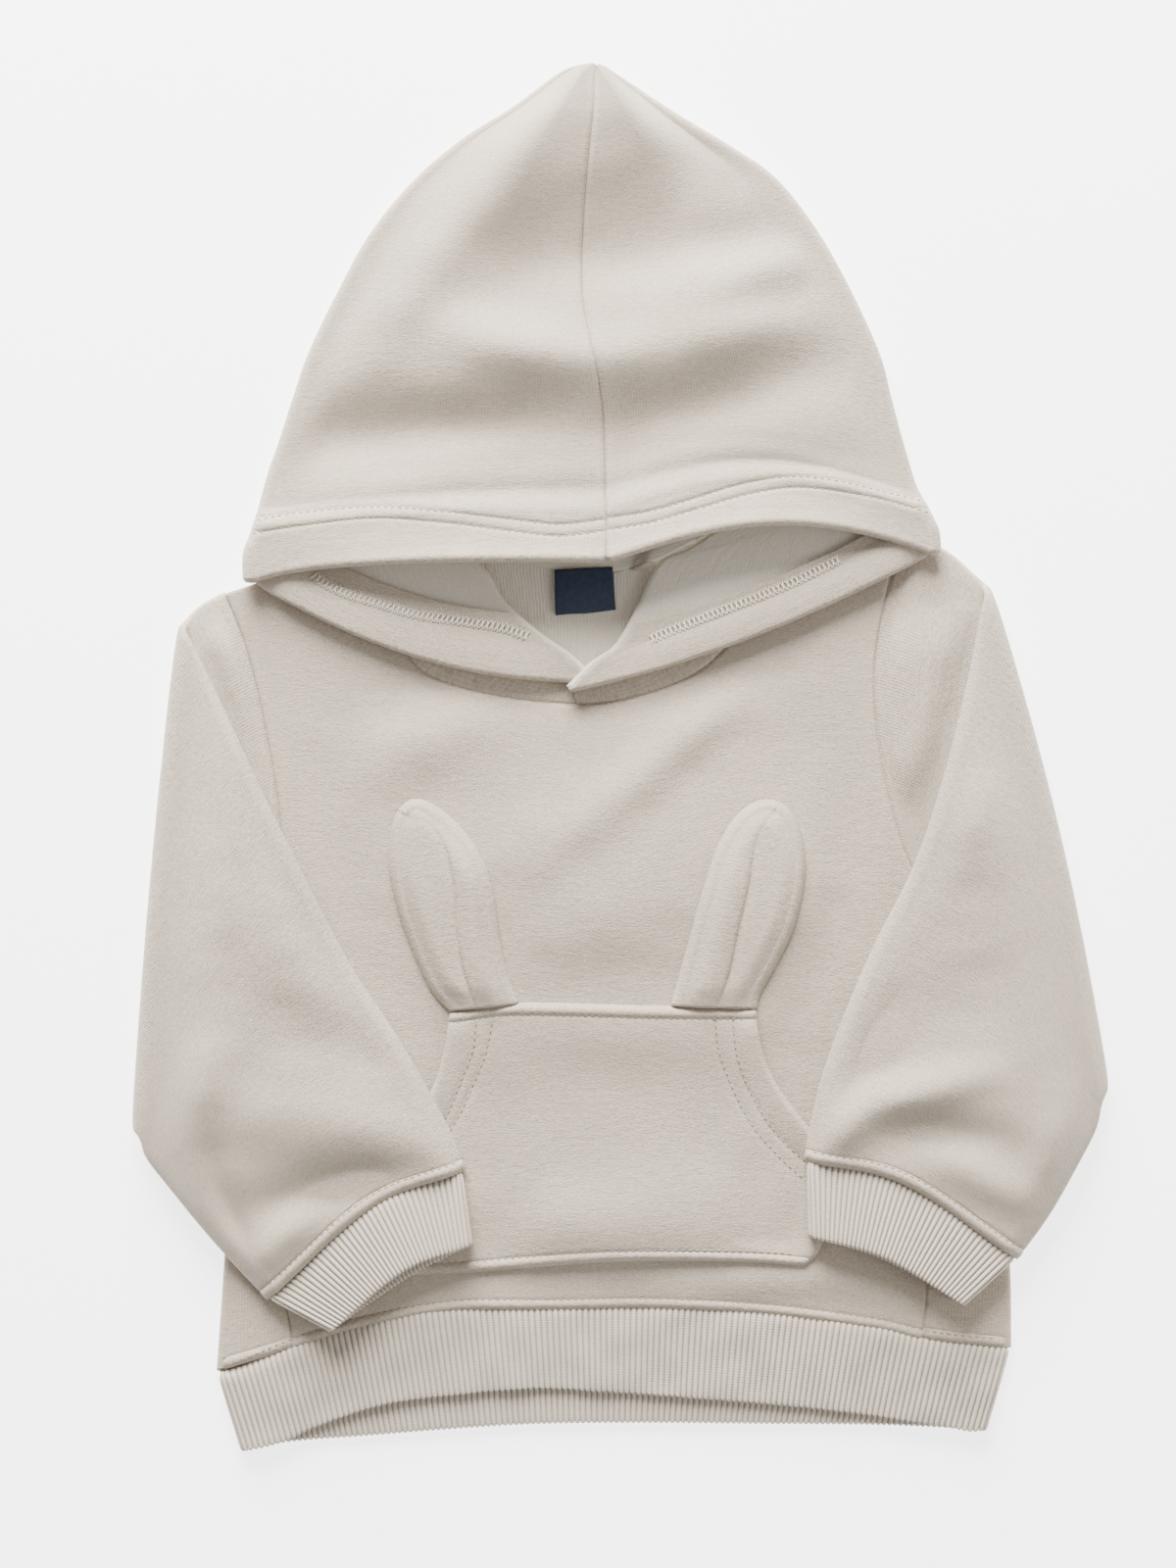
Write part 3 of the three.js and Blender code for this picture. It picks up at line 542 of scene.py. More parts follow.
def back_points():
    """The flat back, and the two strips that wrap round the sides, as grids that share an edge."""
    shoulders = Path([ARMHOLE_LEFT.at(0.0), NECK_LEFT]), Path([NECK_RIGHT, ARMHOLE_RIGHT.at(0.0)])
    top = joined(shoulders[0], BACK_NECK, shoulders[1])
    fold_left = Path(FOLD_LEFT.dense + np.array([BACK_INSET, 0]), smooth=False)
    fold_right = Path(FOLD_RIGHT.dense - np.array([BACK_INSET, 0]), smooth=False)
    bottom = part(HEM_BACK, 0.0086, 0.9914)
    across = np.linspace(0, 1, 110)
    chest = Path([ARMHOLE_LEFT.at(1.0), ARMHOLE_RIGHT.at(1.0)])
    waist = Path([fold_left.at(0.0), fold_right.at(0.0)])
    u, v = np.meshgrid(across, shares(150, 48, end=False))
    upper = coons(top, chest, ARMHOLE_LEFT, ARMHOLE_RIGHT, u, v)
    u, v = np.meshgrid(across, shares(135, 46, start=False))
    lower = coons(waist, bottom, fold_left, fold_right, u, v)
    flat = np.concatenate([upper, lower], axis=0)
    sheet = np.dstack([flat[..., 0], flat[..., 1], np.full(flat.shape[:2], CLOTH / 2)])
    low = sheet[len(upper):]
    left = side_wrap(low[:, 0], FOLD_LEFT, SEAM_LEFT, 1)
    right = side_wrap(low[:, -1], FOLD_RIGHT, SEAM_RIGHT, -1)
    return sheet, left[:, ::-1], right


# ---------------------------------------------------------------- hood

# Row by row from the face edge to the top. On the front a row runs from the middle seam (x, y) to
# the side fold (x, y); then it turns under and comes back to its inner end (x, y): first the roll
# beside the neck, then the back neckline, then the middle seam at the back. crest and sag bow the
# row on the front and the back, loft is how far the front stands off the back.
HOOD_LEFT = [
    (-4.9, 73.2, -144.9, 70.3, -8, 27.5, 1.5, -11, 12.9),
    (-4.7, 80, -143.2, 76.5, -17.5, 37.5, 1.5, -9.5, 9.4),
    (-4.6, 88, -140.3, 84, -31, 47, 2, -7.5, 7.0),
    (-5, 97, -138.3, 90.5, -44, 59, 2, -6, 7.2),
    (-5.2, 106, -136.5, 97.5, -51, 70.5, 1.5, -4, 9.4),
    (-5.3, 113, -134.8, 104, -62, 79.5, 1, -2, 10.2),
    (-5.6, 120, -133, 110, -72, 88.3, 0, -1, 11.2),
    (-6.2, 130, -129.5, 120, -50, 78.6, 0, 0, 12.2),
    (-8, 143, -124.5, 135.5, -28, 71.4, 0, 0, 13),
    (-10.8, 156, -118.1, 154.1, -8, 69.2, 0, 0, 13),
    (-13.6, 172, -106.1, 178.9, -8, 105, 0, 0, 12.5),
    (-14, 190, -95.2, 198.4, -8, 145, 0, 0, 11),
    (-13, 210, -79.5, 217.9, -8, 185, 0, 0, 12),
    (-11.3, 228, -61.5, 233.6, -8, 215, 0, 0, 14),
    (-9.6, 243, -40.5, 247.1, -8, 238, 0, 0, 14.5),
    (-9.2, 255, -22.9, 260.2, -8, 254, 0, 0, 11.5),
    (-8.4, 262, -13, 263.4, -8, 261.5, 0, 0, 3.5),
]
HOOD_RIGHT = [
    (-4.3, 73.2, 124, 79.2, -22.5, 22.5, 11, -6, 13.1),
    (-4.5, 80, 122.2, 85, -11, 34.5, 11.5, -6, 9.6),
    (-4.4, 88, 119.4, 91, -0.8, 42, 12, -6, 7.2),
    (-4.8, 97, 116.6, 97, 8.0, 57, 12, -5, 7.4),
    (-5, 106, 113.8, 102.5, 16, 73, 11, -3, 9.6),
    (-5.1, 113, 112.2, 107.5, 28, 79, 10, -2, 10.4),
    (-5.4, 120, 110.4, 113.5, 47.5, 92.3, 8, -1, 11.4),
    (-6, 130, 108, 122, 26, 81.4, 6, 0, 12.4),
    (-7.8, 143, 104, 137, 8, 72.4, 4, 0, 13),
    (-10.6, 156, 99.4, 154.1, -8, 69.2, 2, 0, 13),
    (-13.4, 172, 87, 180.8, -8, 105, 0, 0, 12.5),
    (-13.8, 190, 74.6, 202.1, -8, 145, 0, 0, 11),
    (-12.8, 210, 60.4, 219.8, -8, 185, 0, 0, 12),
    (-11.1, 228, 44.6, 231, -8, 215, 0, 0, 14),
    (-9.4, 243, 21.4, 245.2, -8, 238, 0, 0, 14.5),
    (-9, 255, 2, 258.2, -8, 254, 0, 0, 11.5),
    (-8.2, 262, -4.4, 262.6, -8, 261.5, 0, 0, 3.5),
]
NECK_ROW = 6        # the row that ends at the shoulder end of the neckline
BACK_ROW = 9        # the row that ends at the middle of the back neckline
FACING_ROW = 2.4    # how far the face hem is turned in
LAST_ROW = len(HOOD_LEFT) - 1
CORNERS = {4: (NECK_ROW, BACK_ROW), 5: (NECK_ROW, BACK_ROW)}    # columns that turn sharply, and where

# Where each roll row's turned-under strip meets the front neckline: x, y for rows 0 to 6.
STRIP_LEFT = [(-9, 20.6), (-27, 20.3), (-50, 23.5), (-66.6, 28.4), (-79.3, 36.6), (-84.2, 60),
              (-73.5, 87.4)]
STRIP_RIGHT = [(-19.5, 20.3), (-8, 20.5), (13, 24.5), (24, 29), (34.6, 35.2), (50.2, 60), (48.6, 91.4)]

# The top edge of the body under the hood: shoulders, then the rolls beside the neck.
BODY_TOP = np.array([
    (-170, 52), (-150, 63), (-112, 76), (-73, 89), (-62, 81), (-51, 72), (-44, 61), (-34, 50),
    (-20, 43), (-8, 37), (0, 44), (6, 58), (12, 73), (28, 81), (48, 93), (107, 86), (125, 80), (141, 67),
], dtype=float)
RAMP = 14          # over this distance the hood comes down from the body to the table
CROSSING = (18, 62)    # below this x and y the right half lies on the left one at the neck

# Folds of the front of the hood: x, y, half length, half width, turn, height.
HOOD_FOLDS = [
    (-66, 192, 54, 13, 52, 5.5),
    (-30, 186, 34, 22, 30, -8.5),
    (-36, 153, 30, 11, -12, 7.0),
    (-72, 124, 60, 13, 4, -9.5),
    (14, 205, 34, 20, 62, -7.0),
    (32, 193, 36, 12, 12, -4.0),
    (54, 184, 22, 9, 20, 4.0),
    (44, 160, 30, 10, 12, 4.0),
    (4, 152, 16, 9, 10, 2.0),
    (36, 134, 44, 13, 18, -7.5),
    (4, 118, 20, 10, 80, -2.0),
]


def hood_seat(x, y, crossing):
    """Height of the underside of the hood's back: on the table, or on the body."""
    beyond = y - np.interp(x, BODY_TOP[:, 0], BODY_TOP[:, 1])
    on_body = ON_BODY * ease(1 - (beyond - 2) / RAMP)
    swell = body_swell(x, y) * ease(1 - (beyond + 8) / RAMP)
    crossed = ease((CROSSING[0] - x) / 38) * ease((CROSSING[1] - y) / 12) if crossing else 0.0
    over_lip = (2 * CLOTH + 0.4) * crossed
    return on_body + np.maximum(swell, 0) + over_lip


# The two rows sewn along the face hem on the front, on the left half and then on the right: x, y.
HOOD_STITCHES = [
    [(-137, 89.4), (-120, 92.2), (-93, 94), (-67, 92), (-40.5, 88.9), (-22.9, 87), (-6.5, 88.7)],
    [(-138.6, 84.2), (-120, 87), (-93, 89.6), (-67, 87.8), (-40.5, 84.4), (-22.9, 82.5), (-6.5, 84.2)],
    [(-3, 89.6), (12.8, 92.2), (30.4, 97.5), (48, 102.8), (65.6, 105.4), (83, 103.9), (101, 100),
     (116, 96.4)],
    [(-3, 85), (12.8, 87.8), (30.4, 93), (48, 98.2), (65.6, 101.2), (83, 100), (101, 96.8),
     (118.5, 91.8)],
]
FRONT_SHARES = shares(135, 74, end=False)
BEND_STEPS = 12
BACK_STEPS = 66
ROLL_STEPS = 10
FLAP_STEPS = 18
WALL = CLOTH / 2 + 0.1   # from the middle of a turned hem to the middle of each of its layers
TURN_OUT = 0.28          # the row where the outer layer of the hem starts, its edge being rounded
PUFF_INSIDE = 0.8        # how much the turned-in layer of the hem stands off the outer one
LIFTED_BELOW = 116       # the body lifts the hood's front below this y
LIFT_REACH = 54          # and fully at this distance from it
LOFT_SHARE = 0.62        # share of a row over which the front rises from its side fold
HOOD_ROOM = 1.4          # least space between the hood's front and back
HOOD_BELLY = 2.4         # more of it, away from the face edge and the tip
CORNER_ROWS = 1.4        # rows over which the lower corners droop
RIM_ROWS = 3.2           # rows near the face edge that are sampled closely
RIM_STEPS = 38
HIGH_STEPS = 92
DROOP = {"left": 4.5, "right": 2.5}    # how far the lower corners of the hood's front hang down
RIM_RISE = 3.0           # how far the under layer rises in the mouth of the hood
SEWN_HALF, SEWN_DEEP = 0.8, -0.75      # half width and depth of the grooves that the face hem's rows make


def front_seat(y):
    """How much the front of the hood is lifted where the body lies under it."""
    return ON_BODY * ease((LIFTED_BELOW - y) / LIFT_REACH)


def hood_surface(table, strip, side, places, crossing):
    """Middle of the hood's cloth for rows at the given places: rows by columns of points."""
    inward = INWARD[side]
    row = places[:, None]
    front_x, front_y, side_x, side_y, end_x, end_y, crest, sag, loft = (
        column(table, index, places, CORNERS.get(index, ()))[:, None] for index in range(len(table[0])))
    droop = ease(1 - row / CORNER_ROWS) * DROOP[side]
    near_rim = ease(1 - (row - FACING_ROW) / 1.2)
    belly = HOOD_BELLY * ease(row / 3) * ease((LAST_ROW - row) / 3)
    room = HOOD_ROOM + near_rim * (2 * CLOTH + 0.6) + belly
    bend = (CLOTH + room) / 2

    # Front, from the middle seam to where the side fold begins.
    share = FRONT_SHARES[None, :]
    start_x = side_x + inward * (bend + CLOTH / 2 + 0.45 * droop)
    x = mix(front_x - inward * SEAM_INSET, start_x, share)
    y = mix(front_y, side_y, share) + crest * np.sin(share * math.pi) - droop * share ** 9
    side_y = side_y - droop
    from_seam = np.abs(x - x[:, :1])
    seat = front_seat(y)
    rise = loft * ease((1 - share) / LOFT_SHARE) ** 0.85
    fade = ease((1 - share) / 0.14) * ease((LAST_ROW - row) / 2.2) * ease((row + 0.4) / 2.6)
    z = seat + CLOTH / 2 + 2 * bend + rise + (folds(HOOD_FOLDS, x, y) + ripple(x, y, 0.12, 8)) * fade
    z += turned_in(from_seam, MIDDLE_SEAM_ROUND)
    for line in HOOD_STITCHES:
        z += bump(to_line(x, y, Path(line))[0], SEWN_HALF, SEWN_DEEP)
    front = np.dstack([x, y, z])

    # Round the side fold.
    angle = np.linspace(0, math.pi, BEND_STEPS)[None, 1:-1]
    x = start_x - inward * bend * np.sin(angle)
    low_seat = hood_seat(start_x, side_y, crossing) + CLOTH / 2
    bend_z = mix(low_seat, z[:, -1:], np.cos(angle) * 0.5 + 0.5)
    side_arc = np.dstack([x, np.broadcast_to(side_y, x.shape), bend_z])

    # The back, from the side fold to the roll, the neckline or the middle seam.
    rolled = ease((NECK_ROW + 0.15 - row) / 0.3)
    tuck = mix(0.5, CLOTH / 2 + 0.15, rolled)
    share = np.linspace(0, 1, BACK_STEPS)[None, :]
    roll_x = end_x - inward * mix(SEAM_INSET, tuck, rolled)
    x = mix(start_x, roll_x, share)
    y = mix(side_y, end_y, share) + sag * np.sin(share * math.pi) ** 0.8
    z = hood_seat(x, y, crossing) + CLOTH / 2
    z = z + RIM_RISE * ease(1 - row / 2.6) * ease(share / 0.12) * ease((1 - share) / 0.25)
    under = np.dstack([x, y, z])

    # The roll, and the strip under it to the front neckline.
    angle = np.linspace(0, math.pi, ROLL_STEPS)[None, 1:-1]
    high = z[:, -1:]
    low = mix(np.maximum(high - 0.8, CLOTH / 2 - 0.2), np.minimum(BODY_MID, high - 0.3), rolled)
    x = roll_x + inward * tuck * np.sin(angle)
    roll_z = mix(low, high, np.cos(angle) * 0.5 + 0.5)
    roll = np.dstack([x, np.broadcast_to(end_y, x.shape), roll_z])
    neckline = beside(FRONT_NECK, SEAM_INSET)
    strip_ends = [share_near(neckline, *spot) for spot in strip]
    meets = neckline.at(np.interp(places, range(len(strip)), strip_ends))
    neck_x, neck_y = meets[:, 0:1], meets[:, 1:2]
    neck_x = mix(roll_x - inward * 0.8, neck_x, rolled)
    neck_y = mix(end_y, neck_y, rolled)
    share = shares(20, FLAP_STEPS, start=False)[None, 1:]
    x, y = mix(roll_x, neck_x, share), mix(end_y, neck_y, share)
    from_neck = (1 - share) * np.hypot(neck_x - roll_x, neck_y - end_y)
    z = low + (turned_in(from_neck) + 0.8 * np.sin(share * math.pi)) * rolled
    flap = np.dstack([x, y, np.broadcast_to(z, x.shape)])
    return np.concatenate([front, side_arc, under, roll, flap], axis=1)


def hood_points(side):
    """The hood's half as one sheet, and the hem that is turned in along the face edge."""
    table, strip = (HOOD_LEFT, STRIP_LEFT) if side == "left" else (HOOD_RIGHT, STRIP_RIGHT)
    near = np.linspace(TURN_OUT, RIM_ROWS, RIM_STEPS)
    far = np.linspace(RIM_ROWS, LAST_ROW, HIGH_STEPS)[1:]
    places = np.concatenate([near, far])
    main = hood_surface(table, strip, side, places, side == "right")
    fronts = len(FRONT_SHARES)
    outward = normals(main)
    if outward[:, 5:fronts - 5, 2].sum() < 0:
        outward = -outward
    hemmed = fronts + BEND_STEPS - 2 + BACK_STEPS
    inside = places <= FACING_ROW + TURN_OUT
    deep = (places[inside] - TURN_OUT)[:, None, None]
    full = 2 * WALL + 1.1 * np.sin(np.clip(deep / 1.7, 0, 1) * math.pi) * PUFF_INSIDE
    facing = (main[inside] - outward[inside] * full)[:, :hemmed]
    edge = unit(main[0] - main[1])
    middle = main[0] - outward[0] * WALL
    turns = np.linspace(math.pi, 0, 10)[1:-1]
    rim = [middle + outward[0] * WALL * math.cos(turn) + edge * WALL * math.sin(turn) for turn in turns]
    hem = np.concatenate([facing[::-1], np.array(rim)[:, :hemmed], main[:1, :hemmed]], axis=0)
    return main, hem


# ---------------------------------------------------------------- sleeves

SLEEVES = {
    "left": {
        "start": (-167.2, 49.5), "end": (-184.2, -137), "bulge": 1.5,
        "shoulder": [(-150, 62), (-159, 57), (-166, 51)],
        "over": [(-165, 46), (-148, 14), (-129, -27), (-104, -77), (-84, -108), (-66, -140), (-58.8, -157)],
        "armpit": [(-139, -97), (-162, -121), (-178, -139)],
        "under": [(-182.6, -143.5), (-178.4, -152), (-170, -163), (-154, -182.5), (-132.6, -205.6)],
        "armhole": ARMHOLE_LEFT,
    },
    "right": {
        "start": (141.4, 64.5), "end": (185.6, -123), "bulge": 4.0,
        "shoulder": [(107.6, 84), (124.5, 78), (139.5, 66)],
        "over": [(140, 60), (131, 26), (121.5, -12), (112.4, -42), (94.5, -79), (78.5, -120), (71, -153.2)],
        "armpit": [(132.8, -80), (159, -103), (178, -121)],
        "under": [(184.2, -129), (180.6, -140.5), (175, -152), (163.4, -172.6), (150.6, -190.4)],
        "armhole": ARMHOLE_RIGHT,
    },
}
WRIST_SHIFT = np.array([0.0, 0.6])
FOLD_ROUND = 3.4       # radius of the middle of a sleeve's two layers where it folds over
SLEEVE_ACROSS = 72
SLEEVE_PUFF = 7.8      # how far the upper layer stands up in the middle of the sleeve
CUFF_PUFF = 2.6        # the same where it is gathered into the cuff
ELBOW_LIFT = 4.0       # how far the folded edge is held up between the shoulder and the elbow
CAP_SWELL = 3.2        # how far the sleeve swells between its armhole and the folded edge
UNDER_SWELL = 1.6      # how far the part under the fold swells
EDGE_POWER = 14        # the higher, the squarer the sleeve's two long edges
EDGE_PACKING = 0.8     # how much closer the places across it are near those edges

# Folds of the sleeves' upper layer: x, y, half length, half width, turn, height.
SLEEVE_FOLDS = {
    "left": [
        (-108, -108, 44, 15, -14, -3.0),
        (-100, -142, 46, 12, -10, 3.4),
        (-106, -163, 27, 8, 14, -5.5),
        (-128, -183, 24, 7, 46, 3.6),
        (-147, -172, 28, 6, 106, -2.4),
        (-158, -124, 30, 12, 58, 3.4),
        (-130, -62, 46, 18, 112, 3.4),
        (-158, -30, 60, 14, 96, 1.8),
        (-140, 10, 24, 14, 70, 2.0),
    ],
    "right": [
        (140, -22, 34, 24, 16, 5.0),
        (146, 24, 26, 20, 100, 2.0),
        (112, -104, 44, 24, 24, -5.0),
        (85, -141, 16, 8, 24, 5.0),
        (110, -128, 26, 8, 14, 5.5),
        (120, -143, 24, 8, -6, -4.0),
        (138, -160, 24, 8, -26, 3.6),
        (166, -142, 26, 9, 66, 3.0),
    ],
}


def sleeve_points(side):
    """The sleeve's skin, ring by ring from the armhole to the wrist, folded over its line."""
    cut = SLEEVES[side]
    start = np.array(cut["start"], dtype=float)
    along = np.array(cut["end"], dtype=float) - start
    length = float(np.linalg.norm(along))
    along /= length
    outward = np.array([-along[1], along[0]])
    if outward[0] * start[0] < 0:
        outward = -outward
    axis_high = (BODY_HIGH + ON_POCKET) / 2
    arm = axis_high - CLOTH / 2
    start = start - outward * arm
    arc = math.pi * FOLD_ROUND

    def flat(points, past_fold):
        """Places on the sleeve before it is folded: depth across the fold line, run along it."""
        offset = np.array(points, dtype=float) - start
        depth = -(offset @ outward)
        run = offset @ along
        bent = FOLD_ROUND * np.arcsin(np.clip(-depth / arm, 0, 1))
        if past_fold:
            return np.stack([arc + np.maximum(depth, 0) - bent, run], axis=-1)
        return np.stack([bent - np.maximum(depth, 0), run], axis=-1)

    over = Path(np.vstack([flat(cut["shoulder"], False), flat(cut["over"], True)]))
    under = Path(np.vstack([flat(cut["armpit"], False), flat(cut["under"], True)]))
    armhole = Path(flat(cut["armhole"].dense, False), smooth=False)
    wrist = Path(flat(Path(CUFFS[side][0]).dense + WRIST_SHIFT, True), smooth=False)
    s = shares(230, 128)
    turn = (1 - np.cos(np.linspace(0, math.pi, SLEEVE_ACROSS))) / 2
    share = mix(np.linspace(0, 1, SLEEVE_ACROSS), turn, EDGE_PACKING)
    s_grid, w = np.meshgrid(s, share, indexing="ij")
    spots = coons(over, under, armhole, wrist, s_grid, w)
    spots = inset(spots)
    depth, run = spots[..., 0], spots[..., 1]
    from_over, _, to_armhole, to_wrist = margins(spots)
    edge = np.sqrt(np.clip(1 - np.abs(2 * w - 1) ** EDGE_POWER, 0, 1))
    half = (BODY_MID - CLOTH / 2) / 2
    past = np.maximum(depth - arc, 0)
    before = np.minimum(depth, 0)
    angle = np.clip(depth / FOLD_ROUND, 0, math.pi)
    fraction = np.clip(run / length, 0, 1)
    sides = []
    for face in (1, -1):
        high = half + CLOTH / 2 - face * half * edge
        reach = axis_high - high
        dip = turned_in(to_armhole, ARMHOLE_ROUND) * edge
        out = before + reach * np.sin(angle) - past
        out = out + cut["bulge"] * np.sin(fraction * math.pi) * np.clip(1 - np.abs(out) / 45, 0, 1)
        plan = start + out[..., None] * outward + run[..., None] * along
        x, y = plan[..., 0], plan[..., 1]
        z = axis_high - reach * np.cos(angle)
        settled = ease(past / 26)
        held_up = ELBOW_LIFT * ease(1 - from_over / 24) * ease((0.66 - fraction) / 0.3) * settled
        from_edge = np.minimum(w, 1 - w)
        if face == 1:
            plain = SLEEVE_PUFF * np.sin(math.pi * w) ** 0.6
            plain = mix(plain, CUFF_PUFF * ease(from_edge / 0.07), ease((s_grid - 0.72) / 0.24))
            creases = folds(SLEEVE_FOLDS[side], x, y) + ripple(x, y, 0.14, 3)
            puff = plain + creases * ease(from_edge / 0.14)
            puff = np.maximum(puff, 0.15 * plain) + bump(from_over - 2.6, 1.9, 0.5)
            z = z + held_up + puff * settled + (welt(to_wrist) - turned_in(to_wrist)) * settled
            z = z + turned_in(to_wrist) * edge - dip * (angle <= 0) * edge
        else:
            swell = UNDER_SWELL * np.sin(math.pi * np.clip(-before / 42, 0, 1)) + ripple(x, y, 0.12, 4)
            gap, across, _ = to_line(x, y, Path(cut["over"]))
            seen = across * INWARD[side] > 0
            swell += CAP_SWELL * ease(gap / 14) * ease((y + 26) / 26) * ease((62 - y) / 24) * seen
            z = z + held_up + (swell * ease(to_armhole / 9) * ease(from_edge / 0.1) + dip) * (angle <= 0)
            z = z - turned_in(to_wrist) * 0.5 * edge
        sides.append(np.dstack([x, y, z]))
    lower = sides[1][:, ::-1][:, 1:-1]
    return np.concatenate([sides[0], lower, sides[0][:, :1]], axis=1)


# ---------------------------------------------------------------- rib bands

RIB_PITCH = 2.3      # from one rib to the next
RIB_STEPS = 8        # places round one rib
RIB_DEEP = 0.95      # depth of the groove between two ribs
RIB_WALL = 2.8       # thickness of the rib, turned double
HEM_DROP = 0.5       # how far the hem's free edge sinks
CUFF_RISE = 3.6      # how far the cuffs' free edges stand up

# Each cuff: its seam, the free edge of its upper side and the free edge of its lower side.
CUFFS = {
    "left": ([(-58.8, -157.6), (-94, -171.6), (-132.6, -206.2)],
             [(-56, -184.6), (-82, -194.6), (-109, -217.2)],
             [(-56, -185), (-80, -197.6), (-109, -217.4)]),
    "right": ([(71, -153.8), (108, -162.4), (150.6, -191)],
              [(72.6, -181.4), (101, -189.4), (130.8, -207.2)],
              [(72.6, -181.6), (101.8, -191.4), (130.8, -207.4)]),
}


def rib_ring(seam_front, end_front, seam_back, end_back, floor, wall, lift):
    """A flattened tube of rib, turned double at its free edge, as a closed skin with real ribs.

    lift gives how far the front stands up at x and y."""
    radius = BAND_HIGH / 2
    length = seam_front.length
    straight = length - 2 * radius
    around = 2 * straight + 2 * math.pi * radius
    ribs = round(around / RIB_PITCH)
    place = np.linspace(0, around, ribs * RIB_STEPS + 1)
    turn_end = straight + math.pi * radius
    back_end = turn_end + straight
    angle = np.select(
        [place < straight, place < turn_end, place < back_end],
        [np.full_like(place, math.pi / 2), math.pi / 2 - (place - straight) / radius,
         np.full_like(place, -math.pi / 2)],
        -math.pi / 2 - (place - back_end) / radius)
    run = np.select(
        [place < straight, place < turn_end, place < back_end],
        [radius + place, np.full_like(place, radius + straight), radius + straight - (place - turn_end)],
        radius)
    across = run / length
    up = np.sin(angle)
    to_front = (up * 0.5 + 0.5)[:, None]
    phase = place / around * ribs
    groove = RIB_DEEP * (1 - np.abs(np.sin(phase * math.pi)) ** 0.7)
    step = 1e-3
    before, after = (seam_front.at(np.clip(across + shift, 0, 1)) for shift in (-step, step))
    direction = unit(after - before)
    seam = mix(seam_back.at(across), seam_front.at(across), to_front)
    end = mix(end_back.at(across), end_front.at(across), to_front)
    down = unit(end - seam)
    outer = radius - groove
    inner = radius - wall + groove * 0.8

    def ring(v, size, push=0.0):
        """The places round the tube at a share of its depth, at a distance from its middle."""
        pinch = 0.5 * math.exp(-v * 9)
        middle = mix(seam, end, v) + down * np.asarray(push).reshape(-1, 1)
        size = np.maximum(size - pinch, 0.1)
        spot = middle + direction * (np.cos(angle) * size)[:, None]
        z = floor + radius + up * size + lift(spot[:, 0], spot[:, 1], v) * np.maximum(up, 0)
        return np.column_stack([spot, z])

    half = (outer - inner) / 2
    middle = (outer + inner) / 2
    rings = [ring(0.0, outer - 1.7, -1.6), ring(0.0, outer - 0.5, -0.3)]
    rings += [ring(v, outer) for v in np.linspace(0.03, 0.97, 13)]
    rings += [ring(0.97, middle + half * math.cos(turn), half * math.sin(turn))
              for turn in np.linspace(0, math.pi, 9)[1:-1]]
    rings += [ring(v, inner) for v in np.linspace(0.97, 0, 10)]
    rings += [ring(0.0, inner, -1.6), ring(0.0, outer - 1.7, -1.6)]
    return np.array(rings)


def rib_run(points):
    """How far along the band each column is, counted in ribs."""
    return np.arange(points.shape[1]) / RIB_STEPS * RIB_PITCH


def hem_points():
    """The hem's band, nearly flat."""
    lift = lambda x, y, v: np.maximum(ripple(x, y, 0.2, 11), -0.3) - HEM_DROP * v
    return rib_ring(HEM_FRONT, END_FRONT, HEM_BACK, END_BACK, 0.0, RIB_WALL, lift)


def cuff_points(side):
    """A cuff, which opens a little at its free edge."""
    seam, end, back = (Path(line) for line in CUFFS[side])
    lift = lambda x, y, v: 0.3 * np.sin(x / 9) * (1 - v) + CUFF_RISE * v
    return rib_ring(seam, end, seam, back, ON_POCKET, RIB_WALL, lift)


# ---------------------------------------------------------------- pocket, ears and label

POCKET_TOP = Path([(-63.4, -97.6), (-38, -94.4), (14.6, -95.6), (51.6, -96.2)])
OPENING_LEFT = Path([(-63.4, -97.6), (-65.2, -110), (-69, -124), (-76, -137), (-86, -149), (-98, -160)])
OPENING_RIGHT = Path([(51.6, -96.2), (52.3, -104), (54.8, -115), (59.4, -125), (66, -134.6), (77, -147.5),
                      (89, -157)])
POCKET_LEFT = joined(OPENING_LEFT, Path([(-98, -160), (-80, -197)]))
POCKET_RIGHT = joined(OPENING_RIGHT, Path([(89, -157), (77.8, -182.6), (74.5, -189.4), (70, -192.8)]))
POCKET_BOTTOM = Path([(-80, -197), (-52.5, -195.4), (-4.5, -191.2), (43, -191.2), (70, -192.8)])
POCKET_STITCHES = [
    [(-54, -101), (-54.4, -105), (-55.5, -112.5), (-59.6, -122.6), (-65.6, -136.9), (-75, -148),
     (-88, -160)],
    [(-48, -101), (-48.8, -106), (-50.6, -113.6), (-54.8, -123.8), (-60.8, -136.9), (-70, -151),
     (-84, -165)],
    [(43.4, -99), (44.6, -112), (48.8, -124.9), (56.6, -139), (66, -149.6), (74, -156), (84, -162)],
    [(36.6, -99), (37.9, -111.4), (42.4, -123.8), (49.9, -139), (59.3, -150.4), (67.9, -158.6), (79, -167)],
]
POCKET_FOLDS = [
    (-6, -150, 60, 40, 0, 1.4),
    (-34, -122, 34, 9, -24, 0.4),
    (22, -160, 40, 10, -12, 0.5),
    (46, -150, 22, 8, 62, 0.5),
    (-50, -168, 22, 8, 40, 0.5),
]


OPENING_RISE = 1.5                 # how far the hand openings stand off the front
POCKET_RIDGE = (1.7, 1.1, 0.8)     # the ridge of the pocket's top and bottom seams
POCKET_GROOVE = -0.5


